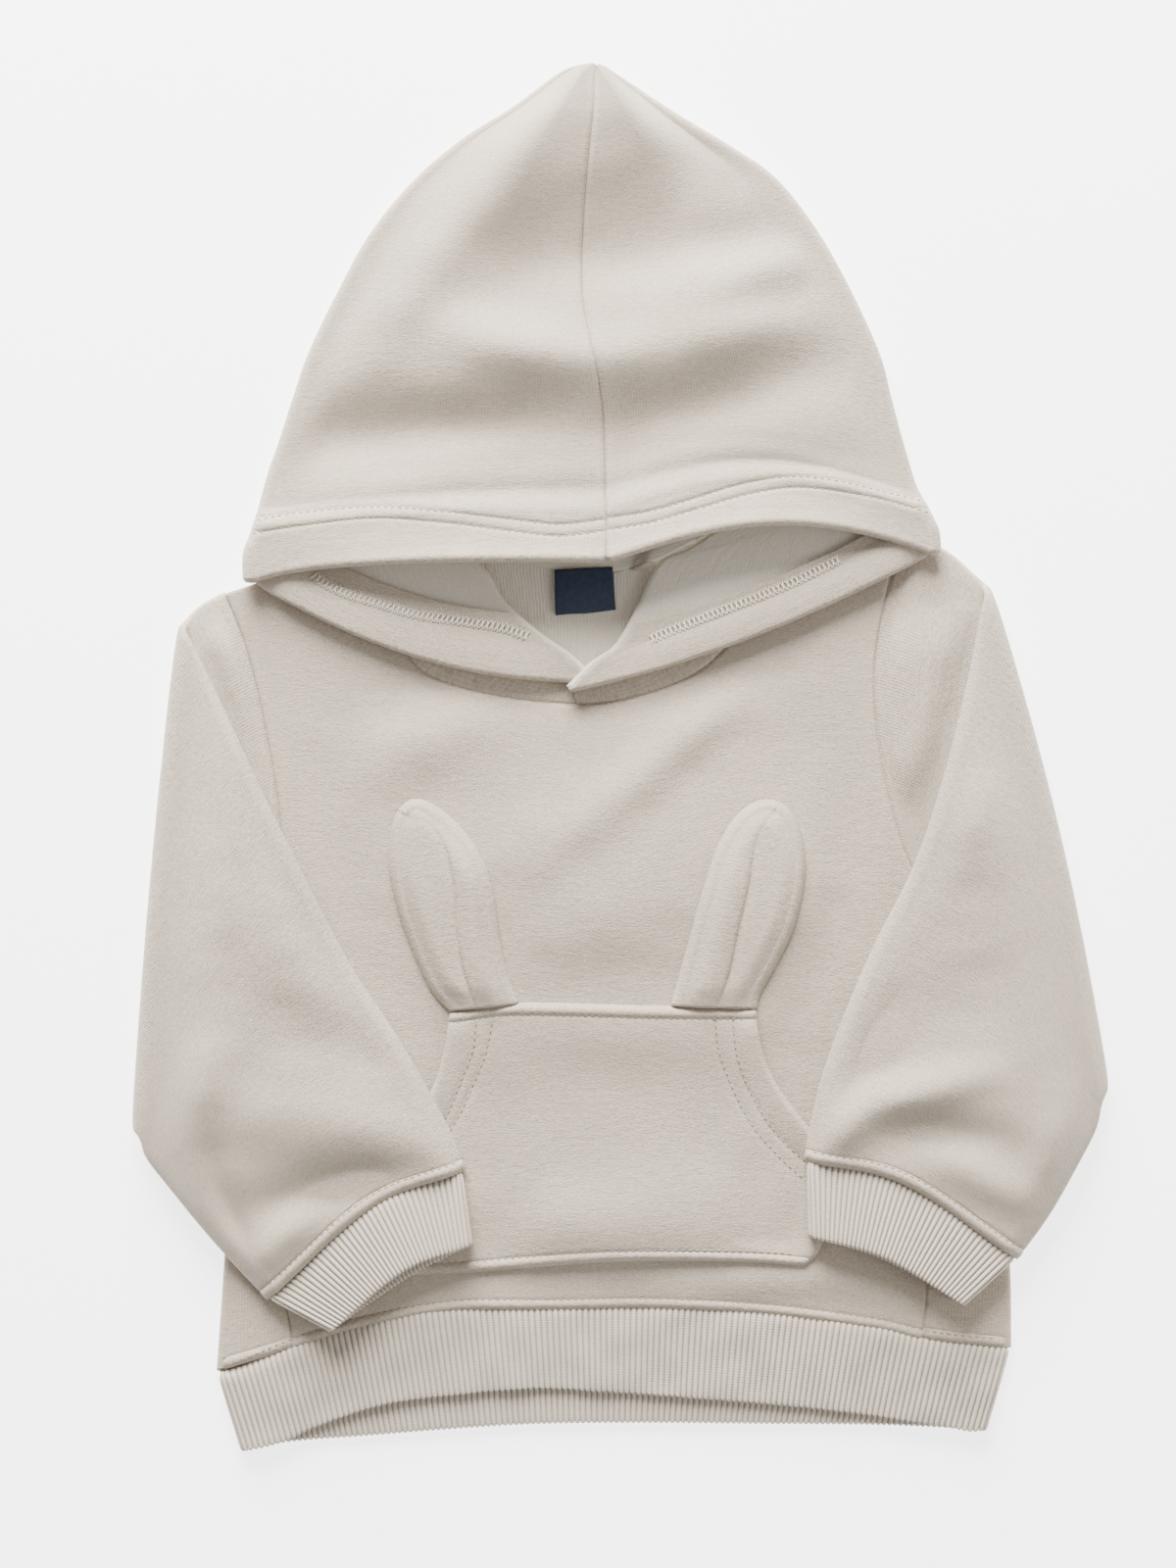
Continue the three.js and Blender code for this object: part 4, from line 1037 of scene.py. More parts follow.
def pocket_points():
    """The pocket, with its edges turned in and its hand openings standing off a little."""
    u, v = np.meshgrid(shares(150, 92), shares(110, 74))
    flat = coons(POCKET_TOP, POCKET_BOTTOM, POCKET_LEFT, POCKET_RIGHT, u, v)
    x, y = flat[..., 0], flat[..., 1]
    from_left, from_right, from_top, from_bottom = margins(flat)
    z = on_front(x, y) + folds(POCKET_FOLDS, x, y) + ripple(x, y, 0.07, 6)
    z += turned_in(from_left, POCKET_ROUND) + turned_in(from_right, POCKET_ROUND)
    openings = ease(1 - from_left / 16) + ease(1 - from_right / 16)
    z += OPENING_RISE * openings * ease(np.minimum(from_top, from_bottom) / 9)
    for gap in (from_top, from_bottom):
        z += welt(gap, POCKET_ROUND, POCKET_RIDGE, POCKET_GROOVE)
    for line in POCKET_STITCHES:
        z += bump(to_line(x, y, Path(line))[0], 0.7, -0.45)
    return np.dstack([x, y, z])


# Each ear: its outline from the foot on its outer side round the tip to the inner foot, where along
# the outline its tip begins and ends, and the line of its pleat from above down.
EARS = {
    "left": {
        "outline": [(-63.4, -96.6), (-71, -88), (-79, -70), (-84.6, -52), (-86.4, -38), (-84.2, -23),
                    (-77.6, -17), (-70, -19.6), (-60, -28), (-52.4, -39), (-48.2, -52), (-45.8, -70),
                    (-42.6, -84), (-38.6, -94)],
        "tip": (0.455, 0.53),
        "pleat": [(-79, -22.6), (-71, -26.4), (-65.4, -34), (-62.6, -44), (-61.2, -52), (-60.8, -60),
                  (-60, -70), (-58.5, -79.5), (-55.5, -89.6), (-53.6, -95.6)],
        "lap": 1,
    },
    "right": {
        "outline": [(20.6, -94.8), (27, -72), (33, -50), (39, -33), (47, -21.5), (56.2, -17.2),
                    (64.4, -20.8), (69, -32), (69.8, -46), (66, -64), (59, -79), (53, -90), (51.6, -95.8)],
        "tip": (0.485, 0.56),
        "pleat": [(57.6, -22), (53, -28), (50.6, -36), (49.4, -44), (47.6, -52.9), (44.6, -65.6),
                  (42, -78.4), (40.9, -82.9), (36.8, -94.9)],
        "lap": -1,
    },
}


EAR_CLEAR = 0.2        # how far the ears lie off the front
EAR_PUFF = 3.6         # how full they are


def ear_points(side):
    """One ear: a soft double layer with a rounded edge and a pleat that runs up from its foot."""
    cut = EARS[side]
    outline = Path(cut["outline"])
    first, last = cut["tip"]
    left = part(outline, first, 0, 70)
    right = part(outline, last, 1, 70)
    tip = part(outline, first, last, 30)
    foot = Path([outline.at(0.0), outline.at(1.0)])
    u, v = np.meshgrid(shares(34, 34), shares(84, 62, end=False))
    flat = coons(tip, foot, left, right, u, v)
    x, y = flat[..., 0], flat[..., 1]
    gap = to_line(x, y, outline, 120)[0]
    z = on_front(x, y) + turned_in(gap, POCKET_ROUND) + EAR_CLEAR
    z += EAR_PUFF * ease(gap / 9) ** 0.8 + bump(gap - 2.0, 1.2, 0.5)
    near, over, along = to_line(x, y, Path(cut["pleat"]))
    over *= cut["lap"]
    open_at = mix(0.3, 1.0, ease((along - 0.12) / 0.3)) * mix(1.0, 0.5, ease((along - 0.82) / 0.15))
    lap = bump(near - 4.5, 4.5, 1.1) - bump(near, 0.55, 0.6)
    z += np.where(over > 0, lap, bump(near, 2.6, -0.9)) * open_at
    z = mix(z, on_front(x, y) + EAR_CLEAR, ease((-86 - y) / 12) * 0.6)
    return np.dstack([x, y, z])


LABEL_THICK = 0.5
LABEL_ROUND = 0.35    # radius of its fold
LABEL_LEFT = Path([(-24.4, 71.2), (-24, 54.4)])
LABEL_RIGHT = Path([(-2.2, 72.4), (-1.1, 56.6)])
LABEL_TOP = Path([(-24.4, 71.2), (-2.2, 72.4)])
LABEL_FOOT = Path([(-24, 54.4), (-19, 54.9), (-12, 55.2), (-1.1, 56.6)])


def label_points():
    """A bare woven label, sewn in at the back of the neck and folded double at its foot."""
    u, v = np.meshgrid(np.linspace(0, 1, 24), np.linspace(0, 1, 20))
    flat = coons(LABEL_TOP, LABEL_FOOT, LABEL_LEFT, LABEL_RIGHT, u, v)
    z = CLOTH + 1.0 + 0.8 * np.sin(v * math.pi) + 0.5 * np.sin(u * math.pi * 1.3 + 0.4)
    front = np.dstack([flat[..., 0], flat[..., 1], z])
    fold = [front[-1] + np.array([0, -LABEL_ROUND * math.sin(turn), -LABEL_ROUND * (1 - math.cos(turn))])
            for turn in np.linspace(0, math.pi, 7)[1:]]
    under = front[::-1][1:12] - np.array([0, 0, 2 * LABEL_ROUND])
    return np.concatenate([front, np.array(fold), under], axis=0)


# ---------------------------------------------------------------- stitching

# The looped seam inside the face hem: x, y.
INSIDE_STITCHES = {
    "left": [(-116, 69), (-110, 65), (-102, 61.4), (-89.6, 57.6), (-75.8, 53.8), (-57, 51), (-44, 48.8),
             (-34, 45.4)],
    "right": [(12, 44.4), (19.5, 47.6), (34.9, 53.6), (60.8, 63.8), (76, 70.9), (84, 75)],
}
ABOVE_ALL = 60.0         # a height over the whole garment
STITCH_SHARE = 0.6       # how much of the pitch a stitch shows
THREAD_SUNK = 0.25       # how far the thread is pulled into the cloth
STITCH_STEP = 1.5        # a stitch whose ends differ more in height than this isn't sewn
LOOP_STEP = 5.0          # the same for the looped seam
LOOP_PITCH = 1.9         # from one loop to the next
LOOP_HALF = 2.3          # half the width of the looped seam
FROM_WELT = 0.4          # from a welt's groove to the stitches on its far side


def surface_of(*pieces):
    """What stitches lie on: the finished shapes of pieces, as trees that a ray can be cast at."""
    graph = bpy.context.evaluated_depsgraph_get()
    return [BVHTree.FromObject(piece, graph) for piece in pieces]


def drop(trees, spot):
    """The point and normal right below a place, in metres, on the highest of some surfaces."""
    start = Vector((spot[0], spot[1], ABOVE_ALL)) * MM
    hits = [tree.ray_cast(start, Vector((0, 0, -1))) for tree in trees]
    hits = [hit for hit in hits if hit[0] is not None]
    return max(hits, key=lambda hit: hit[0].z)[:2] if hits else None


def capsule(bm, start, end, thick):
    """One stitch: a small rounded bar between two points in metres."""
    along = end - start
    turn = along.to_track_quat("X", "Z").to_matrix().to_4x4()
    size = Matrix.Diagonal((along.length / 2, thick * MM, thick * MM, 1))
    place = Matrix.Translation((start + end) / 2)
    bmesh.ops.create_uvsphere(bm, u_segments=6, v_segments=4, radius=1.0,
                              matrix=place @ turn @ size @ Matrix.Rotation(math.pi / 2, 4, "Y"))


def thread_piece(name, bm, finish):
    """Adds stitches as a piece that rides on the garment."""
    piece = add_piece(name, bm, [finish])
    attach(piece, "root")


def sew(name, lines, trees, settings):
    """Rows of stitches along lines, lying on the surfaces under them."""
    pitch = settings.stitch_pitch / MM
    thick = settings.thread_thickness / MM / 2
    bm = bmesh.new()
    for line in lines:
        path = line if isinstance(line, Path) else Path(line)
        for index in range(int(path.length / pitch)):
            ends = []
            for run in (index * pitch, index * pitch + pitch * STITCH_SHARE):
                hit = drop(trees, path.at(run / path.length))
                if hit:
                    ends.append(hit[0] + hit[1] * (thick - THREAD_SUNK) * MM)
            if len(ends) == 2 and abs(ends[0].z - ends[1].z) < STITCH_STEP * MM:
                capsule(bm, ends[0], ends[1], thick)
    thread_piece(name, bm, "Thread")


def coverstitch(name, line, trees, settings):
    """The looped side of the face hem's seam: threads that cross over and over between two rows."""
    thick = settings.thread_thickness / MM / 2
    raised = Vector((0, 0, thick * MM))
    path = Path(line)
    upper, lower = beside(path, LOOP_HALF), beside(path, -LOOP_HALF)
    count = int(path.length / LOOP_PITCH)
    bm = bmesh.new()
    for index in range(count):
        share, later = index / count, min((index + 0.85) / count, 1.0)
        for start_line, end_line in ((upper, lower), (lower, upper)):
            start = drop(trees, start_line.at(share))
            end = drop(trees, end_line.at(later))
            if start and end and abs(start[0].z - end[0].z) < LOOP_STEP * MM:
                capsule(bm, start[0] + raised, end[0] + raised, thick)
    thread_piece(name, bm, "Looping thread")


# ---------------------------------------------------------------- materials

ONE_BAND = 0.314159    # the scale at which a wave texture has one band to a unit


class Finish:
    """A material being put together: its nodes, and the shader at its end."""

    def __init__(self, name, roughness, sheen=0.0):
        self.material = bpy.data.materials.new(name)
        self.material.use_nodes = True
        self.tree = self.material.node_tree
        self.tree.nodes.clear()
        self.shader = self.add("ShaderNodeBsdfPrincipled")
        output = self.add("ShaderNodeOutputMaterial")
        self.link(self.shader.outputs["BSDF"], output.inputs["Surface"])
        self.shader.inputs["Roughness"].default_value = roughness
        self.shader.inputs["Sheen Weight"].default_value = sheen
        self.shader.inputs["Sheen Roughness"].default_value = 0.6
        self.shader.inputs["Specular IOR Level"].default_value = 0.25
        self.normal = None    # the relief so far

    def add(self, kind, inputs=None, **settings):
        """A node with its inputs' values and its settings."""
        node = self.tree.nodes.new(kind)
        for key, value in settings.items():
            setattr(node, key, value)
        for key, value in (inputs or {}).items():
            node.inputs[key].default_value = value
        return node

    def link(self, start, end):
        """Joins two sockets."""
        self.tree.links.new(start, end)

    def millimetres(self, source, scale=(1, 1, 1)):
        """A map in metres as one in millimetres, times a scale."""
        mapping = self.add("ShaderNodeMapping", {"Scale": tuple(1000 * part for part in scale)})
        self.link(source, mapping.inputs["Vector"])
        return mapping.outputs["Vector"]

    def cloth_map(self, scale=(1, 1, 1)):
        """The piece's own map, which follows the cloth."""
        return self.millimetres(self.add("ShaderNodeUVMap", uv_map="cloth").outputs["UV"], scale)

    def place_map(self):
        """The object's own space."""
        return self.millimetres(self.add("ShaderNodeTexCoord").outputs["Object"])

    def noise(self, vector, scale, detail=3.0, rough=0.55):
        """Soft spots, scale of them to a millimetre."""
        node = self.add("ShaderNodeTexNoise", {"Scale": scale, "Detail": detail, "Roughness": rough})
        self.link(vector, node.inputs["Vector"])
        return node.outputs["Fac"]

    def bands(self, vector, pitch, direction, wobble):
        """Even rows with a pitch in millimetres."""
        inputs = {"Scale": ONE_BAND / pitch, "Distortion": wobble, "Detail": 1.0, "Detail Scale": 0.6}
        node = self.add("ShaderNodeTexWave", inputs, wave_type="BANDS", bands_direction=direction,
                        wave_profile="SIN")
        self.link(vector, node.inputs["Vector"])
        return node.outputs["Fac"]

    def raise_by(self, height, deep):
        """Adds a layer of relief, deep millimetres high."""
        node = self.add("ShaderNodeBump", {"Strength": 1.0, "Distance": deep * MM})
        self.link(height, node.inputs["Height"])
        if self.normal:
            self.link(self.normal, node.inputs["Normal"])
        self.normal = node.outputs["Normal"]

    def times(self, first, second):
        """The product of two heights."""
        node = self.add("ShaderNodeMath", operation="MULTIPLY")
        self.link(first, node.inputs[0])
        self.link(second, node.inputs[1])
        return node.outputs[0]

    def blend(self, share, low, high, span=(0.3, 0.7)):
        """A colour between two, by a share that is stretched over a span."""
        ramp = self.add("ShaderNodeValToRGB")
        ramp.color_ramp.elements[0].position = span[0]
        ramp.color_ramp.elements[1].position = span[1]
        ramp.color_ramp.elements[0].color = low
        ramp.color_ramp.elements[1].color = high
        self.link(share, ramp.inputs["Fac"])
        return ramp.outputs["Color"]

    def darken(self, colour, share, dark, span, amount=1.0):
        """A colour that is multiplied by a darker one where a share is low."""
        tone = self.blend(share, (*dark, 1), (1, 1, 1, 1), span)
        node = self.add("ShaderNodeMix", data_type="RGBA", blend_type="MULTIPLY")
        node.inputs["Factor"].default_value = amount
        self.link(colour, node.inputs["A"])
        self.link(tone, node.inputs["B"])
        return node.outputs["Result"]

    def done(self, colour):
        """Joins the colour and the relief to the shader."""
        self.link(colour, self.shader.inputs["Base Color"])
        if self.normal:
            self.link(self.normal, self.shader.inputs["Normal"])
        return self.material


def shade(colour, factor):
    """A colour times a factor, opaque."""
    return (colour[0] * factor, colour[1] * factor, colour[2] * factor, 1.0)


def jersey_finish(settings):
    """The smooth right side of sweatshirt fleece: fine columns of knit, a faint fuzz, a mottled cream."""
    made = Finish("Sweatshirt jersey", 0.88, 0.15)
    flat = made.cloth_map()
    wales = made.bands(flat, settings.knit_pitch / MM, "X", 1.6)
    grain = made.noise(made.cloth_map((0.6, 1.5, 1)), 1.0, 3.0, 0.62)
    fuzz = made.noise(flat, 1.9, 2.0, 0.6)
    mottle = made.noise(made.cloth_map((0.7, 1.4, 1)), 0.3, 3.0, 0.6)
    clouds = made.noise(made.place_map(), 0.028, 3.0, 0.5)
    cream = tuple(settings.cream)
    warmer = (cream[0] * 1.01, cream[1], cream[2] * 0.985)
    colour = made.blend(clouds, shade(cream, 0.96), shade(warmer, 1.02))
    colour = made.darken(colour, grain, (0.76, 0.755, 0.75), (0.34, 0.64))
    colour = made.darken(colour, fuzz, (0.82, 0.82, 0.82), (0.34, 0.66))
    colour = made.darken(colour, mottle, (0.91, 0.905, 0.90), (0.34, 0.66))
    colour = made.darken(colour, wales, (0.90, 0.90, 0.895), (0.0, 0.7), 0.8)
    made.raise_by(mottle, 0.3)
    made.raise_by(wales, 0.06)
    made.raise_by(grain, 0.3)
    made.raise_by(fuzz, 0.14)
    return made.done(colour)


def brushed_finish(settings, name="Brushed fleece", columns=0.15):
    """The brushed wrong side: a soft matted pile with columns of knit showing through.

    columns is how clearly they show, from 0 to 1."""
    made = Finish(name, 0.95, 0.3)
    flat = made.cloth_map()
    pile = made.noise(flat, 1.1, 5.0, 0.7)
    tufts = made.noise(made.cloth_map((1, 0.45, 1)), 0.35, 3.0, 0.6)
    rows = made.bands(flat, settings.knit_pitch / MM * 1.5, "X", 2.0)
    inside = tuple(settings.inside)
    colour = made.blend(pile, shade(inside, 0.88), shade(inside, 1.03), (0.3, 0.62))
    colour = made.darken(colour, rows, (0.9, 0.9, 0.89), (0.0, 0.6), columns)
    made.raise_by(tufts, 0.5)
    made.raise_by(pile, 0.35)
    made.raise_by(rows, 0.16 * columns)
    return made.done(colour)


def looped_finish(settings):
    """The inside of the back, whose columns of loops are only lightly brushed."""
    return brushed_finish(settings, "Looped back", 0.8)


def rib_finish(settings):
    """Rib: small knit stitches along each rib, with painted shade darkening the grooves between them."""
    made = Finish("Rib knit", 0.9, 0.15)
    flat = made.cloth_map()
    courses = made.bands(flat, 0.9, "Y", 1.2)
    ribs = made.bands(flat, RIB_PITCH, "X", 0.0)
    grain = made.noise(flat, 1.6, 3.0, 0.65)
    cream = tuple(settings.rib)
    colour = made.blend(grain, shade(cream, 0.88), shade(cream, 1.04), (0.32, 0.66))
    # painted shade: the colour is darkened along the grooves between the ribs, where shade falls
    colour = made.darken(colour, ribs, (0.66, 0.645, 0.62), (0.0, 0.5))
    colour = made.darken(colour, courses, (0.92, 0.92, 0.91), (0.0, 0.7), 0.6)
    made.raise_by(courses, 0.08)
    made.raise_by(grain, 0.16)
    return made.done(colour)


def twisted(name, colour):
    """Sewing thread of one colour, with its twist."""
    made = Finish(name, 0.6, 0.1)
    twist = made.bands(made.place_map(), 0.35, "DIAGONAL", 0.0)
    made.raise_by(twist, 0.05)
    return made.done(made.blend(twist, shade(colour, 0.9), shade(colour, 1.0)))


def shaded_thread_finish(settings):
    """The topstitching's thread, coloured darker than the cloth as painted shade of the stitch holes it
    sinks into.
    """
    return twisted("Thread", tuple(settings.thread))


def loops_finish(settings):
    """The paler thread of the looped seam inside the hood."""
    return twisted("Looping thread", tuple(settings.loops))


def label_finish(settings):
    """Woven satin tape: very fine crossing threads with a soft gloss."""
    made = Finish("Navy label", 0.55, 0.02)
    flat = made.cloth_map()
    warp = made.bands(flat, 0.34, "X", 0.3)
    weft = made.bands(flat, 0.42, "Y", 0.3)
    weave_height = made.times(warp, weft)
    fade = made.noise(flat, 0.5, 3.0)
    navy = tuple(settings.label)
    colour = made.blend(fade, shade(navy, 0.9), shade(navy, 1.25), (0.3, 0.7))
    colour = made.darken(colour, weave_height, (0.8, 0.8, 0.82), (0.0, 0.6), 0.5)
    made.raise_by(weave_height, 0.06)
    return made.done(colour)


def floor_finish(settings):
    """A plain pale floor that glows evenly, so that it stays near white."""
    made = Finish("Studio floor", 0.9)
    made.shader.inputs["Emission Color"].default_value = (1.0, 1.0, 1.0, 1.0)
    made.shader.inputs["Emission Strength"].default_value = settings.floor_glow
    soft = made.noise(made.place_map(), 0.004, 2.0)
    pale = tuple(settings.floor)
    return made.done(made.blend(soft, shade(pale, 0.995), shade(pale, 1.0)))


# ---------------------------------------------------------------- the add-on

def tint(name, description, default):
    """A colour that the panel offers."""
    return bpy.props.FloatVectorProperty(
        name=name, description=description, subtype="COLOR", size=3, default=default, min=0.0, max=1.0)


def distance(name, description, default, low, high, precision=5):
    """A length that the panel offers, in metres."""
    return bpy.props.FloatProperty(
        name=name, description=description, default=default, min=low, max=high, subtype="DISTANCE",
        unit="LENGTH", precision=precision)


def power(name, description, default):
    """A lamp's power that the panel offers."""
    return bpy.props.FloatProperty(
        name=name, description=description, default=default, min=0.0, max=1000.0, subtype="POWER",
        unit="POWER")


def strength(name, description, default, high):
    """A strength that the panel offers."""
    return bpy.props.FloatProperty(
        name=name, description=description, default=default, min=0.0, max=high)


class SweatshirtColours(bpy.types.PropertyGroup):
    """Finishes of the cloth, thread, label and floor."""

    cream: tint("Jersey", "Colour of the smooth right side", (0.62, 0.532, 0.43))
    inside: tint("Brushed side", "Colour of the brushed wrong side", (0.70, 0.64, 0.54))
    rib: tint("Rib", "Colour of the rib of the cuffs and the hem", (0.615, 0.54, 0.45))
    loops: tint("Looping thread", "Colour of the thread of the looped seam", (0.76, 0.70, 0.60))
    # painted shade: the thread is darker than the cloth it matches, to stand for the shade in its stitch
    # holes
    thread: tint("Thread", "Colour of the topstitching's thread", (0.33, 0.285, 0.23))
    label: tint("Label", "Colour of the bare neck label", (0.026, 0.037, 0.068))
    floor: tint("Floor", "Colour of the studio floor", (0.94, 0.955, 0.97))
    floor_glow: strength("Floor glow", "Strength of the floor's own even light", 3.0, 20.0)
    knit_pitch: distance("Knit pitch", "Distance between two columns of the knit", 0.0009, 0.0003, 0.003)
    stitch_pitch: distance("Stitch pitch", "Distance from one stitch to the next", 0.0027, 0.001, 0.006)
    thread_thickness: distance("Thread thickness", "Thickness of the sewing thread", 0.00065, 0.0002, 0.001)


class SweatshirtStudio(bpy.types.PropertyGroup):
    """Light and camera."""

    key_power: power("Main light", "Power of the large light beyond the hood", 208.0)
    side_power: power("Side light", "Power of the weak light at the right", 20.0)
    ambient: strength("Ambient", "Strength of the even light from all round", 0.50, 5.0)
    camera_height: distance("Camera height", "Height of the camera over the floor", 1.15, 0.5, 5.0, 3)


def colours():
    """The colours and thread sizes that are set in the panel."""
    return bpy.context.scene.sweatshirt_colours


def cloth(node):
    """Hides the CAD node that a sheet of cloth stands for."""
    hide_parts(node)


MATERIALS = (
    jersey_finish, brushed_finish, looped_finish, rib_finish, shaded_thread_finish, loops_finish, label_finish,
    floor_finish,
)
FLEECE = ("Sweatshirt jersey", "Brushed fleece")       # right side, wrong side
LOOPS_UP = ("Looped back", "Sweatshirt jersey")        # the back lies with its wrong side up

# A place that faces up on each piece that comes in pairs: x, y and, where it isn't named, height.
CUFF_SPOTS = {"left": (-85, -180), "right": (104, -176)}
SLEEVE_SPOTS = {"left": (-125, -110, 22), "right": (132, -90, 22)}
HOOD_SPOTS = {"left": (-70, 160, 30), "right": (50, 160, 30)}
EAR_SPOTS = {"left": (-70, -40), "right": (60, -40)}


class SWEAT_OT_finishes(bpy.types.Operator):
    """Makes the materials"""
    bl_idname = "sweat.finishes"
    bl_label = "Cloth finishes"

    def execute(self, context):
        for make in MATERIALS:
            make(colours())
        return {"FINISHED"}


class SWEAT_OT_body(bpy.types.Operator):
    """Makes the front and the back, which wraps round the sides"""
    bl_idname = "sweat.body"
    bl_label = "Body"

    def execute(self, context):
        sheets = front_points()
        front = make_piece("front_panel_cloth", sheets, FLEECE, (0, -60, BODY_MID), wall=CLOTH)
        cloth("front_panel")
        sheets = back_points()
        back = make_piece("back_panel_cloth", sheets, LOOPS_UP, (0, -60, CLOTH / 2), wall=CLOTH)
        cloth("back_panel")
        return {"FINISHED"}


class SWEAT_OT_bands(bpy.types.Operator):
    """Makes the rib bands of the hem and the two cuffs"""
    bl_idname = "sweat.bands"
    bl_label = "Rib bands"

    def execute(self, context):
        points = hem_points()
        hem = make_piece("hem_rib", [points], ["Rib knit"], (0, -232, BAND_HIGH), run=rib_run(points))
        cloth("hem_band")
        for side in SIDES:
            points = cuff_points(side)
            spot = (*CUFF_SPOTS[side], ON_POCKET + BAND_HIGH)
            cuff = make_piece(f"cuff_rib_{side}", [points], ["Rib knit"], spot, run=rib_run(points))
            cloth(f"cuff_{side}")
        return {"FINISHED"}


class SWEAT_OT_sleeves(bpy.types.Operator):
    """Makes the two sleeves, each folded in over the body"""
    bl_idname = "sweat.sleeves"
    bl_label = "Sleeves"

    def execute(self, context):
        for side in SIDES:
            points = sleeve_points(side)
            sleeve = make_piece(f"sleeve_cloth_{side}", [points], FLEECE, SLEEVE_SPOTS[side], wall=CLOTH)
            cloth(f"sleeve_{side}")
        return {"FINISHED"}


class SWEAT_OT_hood(bpy.types.Operator):
    """Makes the two halves of the hood with their turned-in face hem"""
    bl_idname = "sweat.hood"
    bl_label = "Hood"

    def execute(self, context):
        for side in SIDES:
            main, hem = hood_points(side)
            half = make_piece(f"hood_cloth_{side}", [main, hem], FLEECE, HOOD_SPOTS[side], wall=CLOTH)
            cloth(f"hood_{side}")
        return {"FINISHED"}


class SWEAT_OT_pocket(bpy.types.Operator):
    """Makes the kangaroo pocket and the two ears above it"""
    bl_idname = "sweat.pocket"
    bl_label = "Pocket and ears"

    def execute(self, context):
        points = pocket_points()
        pocket = make_piece("pocket_cloth", [points], FLEECE, (0, -145, ON_POCKET), joined_edges=False,
                            wall=CLOTH)
        cloth("pocket")
        for side in SIDES:
            points = ear_points(side)
            spot = (*EAR_SPOTS[side], ON_POCKET)
            ear = make_piece(f"ear_cloth_{side}", [points], FLEECE, spot, joined_edges=False, wall=CLOTH)
            cloth(f"ear_{side}")
        return {"FINISHED"}


class SWEAT_OT_label(bpy.types.Operator):
    """Makes the bare label at the back of the neck"""
    bl_idname = "sweat.label"
    bl_label = "Neck label"

    def execute(self, context):
        points = label_points()
        label = make_piece("label_tape", [points], ["Navy label"], (-12, 62, 4), joined_edges=False,
                           wall=LABEL_THICK)
        cloth("neck_label")
        return {"FINISHED"}


class SWEAT_OT_stitching(bpy.types.Operator):
    """Sews the rows of topstitching and the looped seam inside the hood's hem"""
    bl_idname = "sweat.stitching"
    bl_label = "Stitching"

    def execute(self, context):
        settings = colours()
        objects = bpy.data.objects
        body = surface_of(objects["front_panel_cloth"], objects["back_panel_cloth"])
        hem_line = beside(part(HEM_FRONT, 0.02, 0.98, 80), WELT + FROM_WELT)
        sew("hem_stitching", [hem_line], body, settings)
        for side in SIDES:
            wrist = Path(Path(CUFFS[side][0]).dense + WRIST_SHIFT, smooth=False)
            above = beside(part(wrist, 0.02, 0.98), -(WELT + FROM_WELT) * INWARD[side])
            sew(f"cuff_stitching_{side}", [above], surface_of(objects[f"sleeve_cloth_{side}"]), settings)
            half = surface_of(objects[f"hood_cloth_{side}"])
            rows = HOOD_STITCHES[:2] if side == "left" else HOOD_STITCHES[2:]
            sew(f"hood_stitching_{side}", rows, half, settings)
            coverstitch(f"hood_loops_{side}", INSIDE_STITCHES[side], half, settings)
        top = beside(part(POCKET_TOP, 0.01, 0.99, 50), -WELT)
        foot = beside(part(POCKET_BOTTOM, 0.01, 0.99, 50), WELT)
        pocket = surface_of(objects["pocket_cloth"])
        sew("pocket_stitching", POCKET_STITCHES + [top, foot], pocket, settings)
        return {"FINISHED"}


FLOOR_HALF = 4.0                        # metres
FLOOR_BELOW = 0.0006                    # so that the cloth doesn't cut into it
LAMPS = (
    ("Main light", "key_power", 1.45, (-0.28, 1.64, 0.80)),    # name, power, size and place in metres
    ("Side light", "side_power", 1.4, (1.9, -0.6, 1.3)),
)
LAMP_COLOUR = (1.0, 0.98, 0.955)
VIEW_MIDDLE = (-0.0116, -0.0105)        # what the camera looks at
VIEW_HIGH = 0.60                        # length of floor along the long side of the view
SENSOR = 36.0


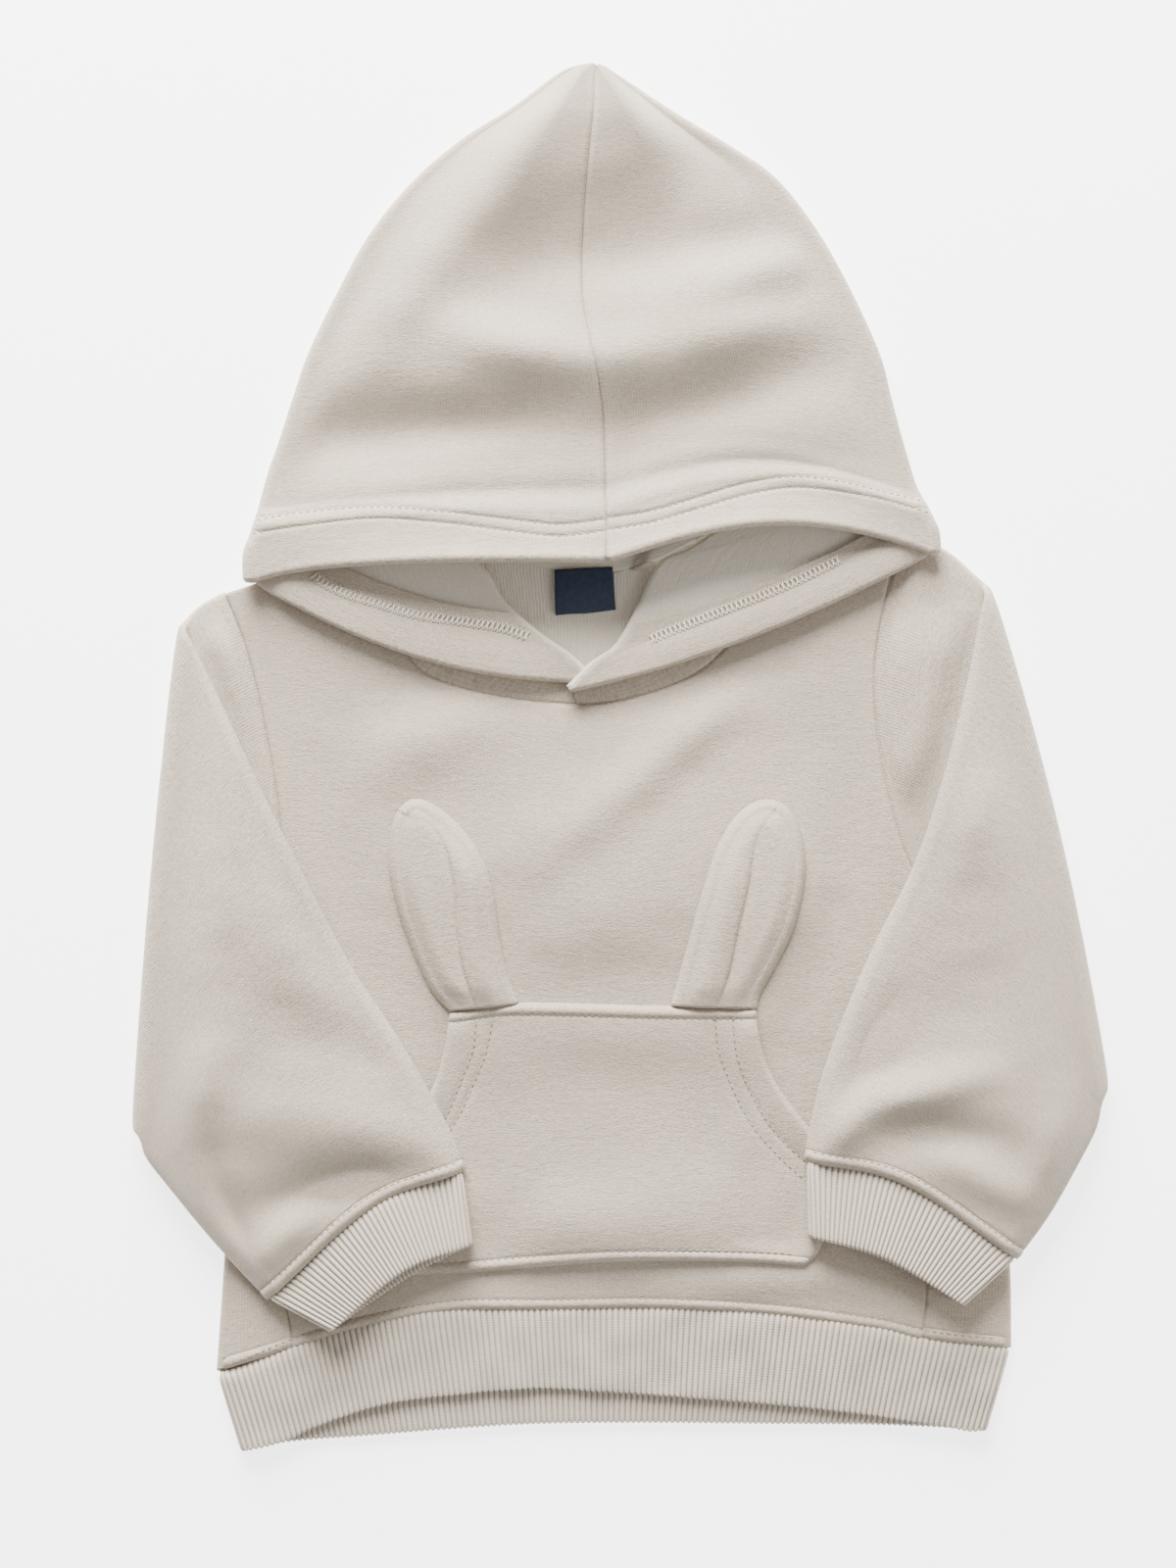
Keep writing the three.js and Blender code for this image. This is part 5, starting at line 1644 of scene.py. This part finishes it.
class SWEAT_OT_stage(bpy.types.Operator):
    """Sets up the floor, the light and the camera"""
    bl_idname = "sweat.stage"
    bl_label = "Studio"

    def execute(self, context):
        studio = context.scene.sweatshirt_studio
        bm = bmesh.new()
        bmesh.ops.create_grid(bm, x_segments=4, y_segments=4, size=FLOOR_HALF)
        bmesh.ops.translate(bm, verts=bm.verts, vec=(0, 0, -FLOOR_BELOW))
        add_piece("floor", bm, ["Studio floor"])
        for name, setting, size, place in LAMPS:
            light = bpy.data.lights.new(name, "AREA")
            light.shape = "DISK"
            light.size = size
            light.energy = getattr(studio, setting)
            light.color = LAMP_COLOUR
            lamp = bpy.data.objects.new(name, light)
            lamp.location = place
            lamp.rotation_euler = (-lamp.location).to_track_quat("-Z", "Y").to_euler()
            context.collection.objects.link(lamp)
        world = bpy.data.worlds.new("Studio")
        world.use_nodes = True
        background = world.node_tree.nodes["Background"]
        background.inputs["Color"].default_value = (1.0, 1.0, 1.0, 1.0)
        background.inputs["Strength"].default_value = studio.ambient
        context.scene.world = world
        lens = bpy.data.cameras.new("Camera")
        lens.sensor_width = SENSOR
        lens.lens = SENSOR * studio.camera_height / VIEW_HIGH
        camera = bpy.data.objects.new("Camera", lens)
        camera.location = (*VIEW_MIDDLE, studio.camera_height)
        context.collection.objects.link(camera)
        context.scene.camera = camera
        return {"FINISHED"}


STEPS = ("finishes", "body", "bands", "pocket", "sleeves", "hood", "label", "stitching", "stage")


class SWEAT_PT_panel(bpy.types.Panel):
    """Lists the steps and their settings"""
    bl_idname = "SWEAT_PT_panel"
    bl_label = "Hooded Sweatshirt"
    bl_space_type = "VIEW_3D"
    bl_region_type = "UI"
    bl_category = "Sweatshirt"

    def draw(self, context):
        for group in (context.scene.sweatshirt_colours, context.scene.sweatshirt_studio):
            box = self.layout.box()
            for name in group.__annotations__:
                box.prop(group, name)
        for step in STEPS:
            self.layout.operator(f"sweat.{step}")


CLASSES = (
    SweatshirtColours, SweatshirtStudio, SWEAT_OT_finishes, SWEAT_OT_body, SWEAT_OT_bands, SWEAT_OT_sleeves,
    SWEAT_OT_hood, SWEAT_OT_pocket, SWEAT_OT_label, SWEAT_OT_stitching, SWEAT_OT_stage, SWEAT_PT_panel,
)


def register():
    """Adds the classes and the two groups of settings."""
    for cls in CLASSES:
        bpy.utils.register_class(cls)
    bpy.types.Scene.sweatshirt_colours = bpy.props.PointerProperty(type=SweatshirtColours)
    bpy.types.Scene.sweatshirt_studio = bpy.props.PointerProperty(type=SweatshirtStudio)


def unregister():
    """Takes them away again."""
    del bpy.types.Scene.sweatshirt_studio
    del bpy.types.Scene.sweatshirt_colours
    for cls in reversed(CLASSES):
        bpy.utils.unregister_class(cls)


def main():
    """Builds the garment and its stage."""
    register()
    for step in STEPS:
        getattr(bpy.ops.sweat, step)()
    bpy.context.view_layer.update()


if __name__ == "__main__":
    main()
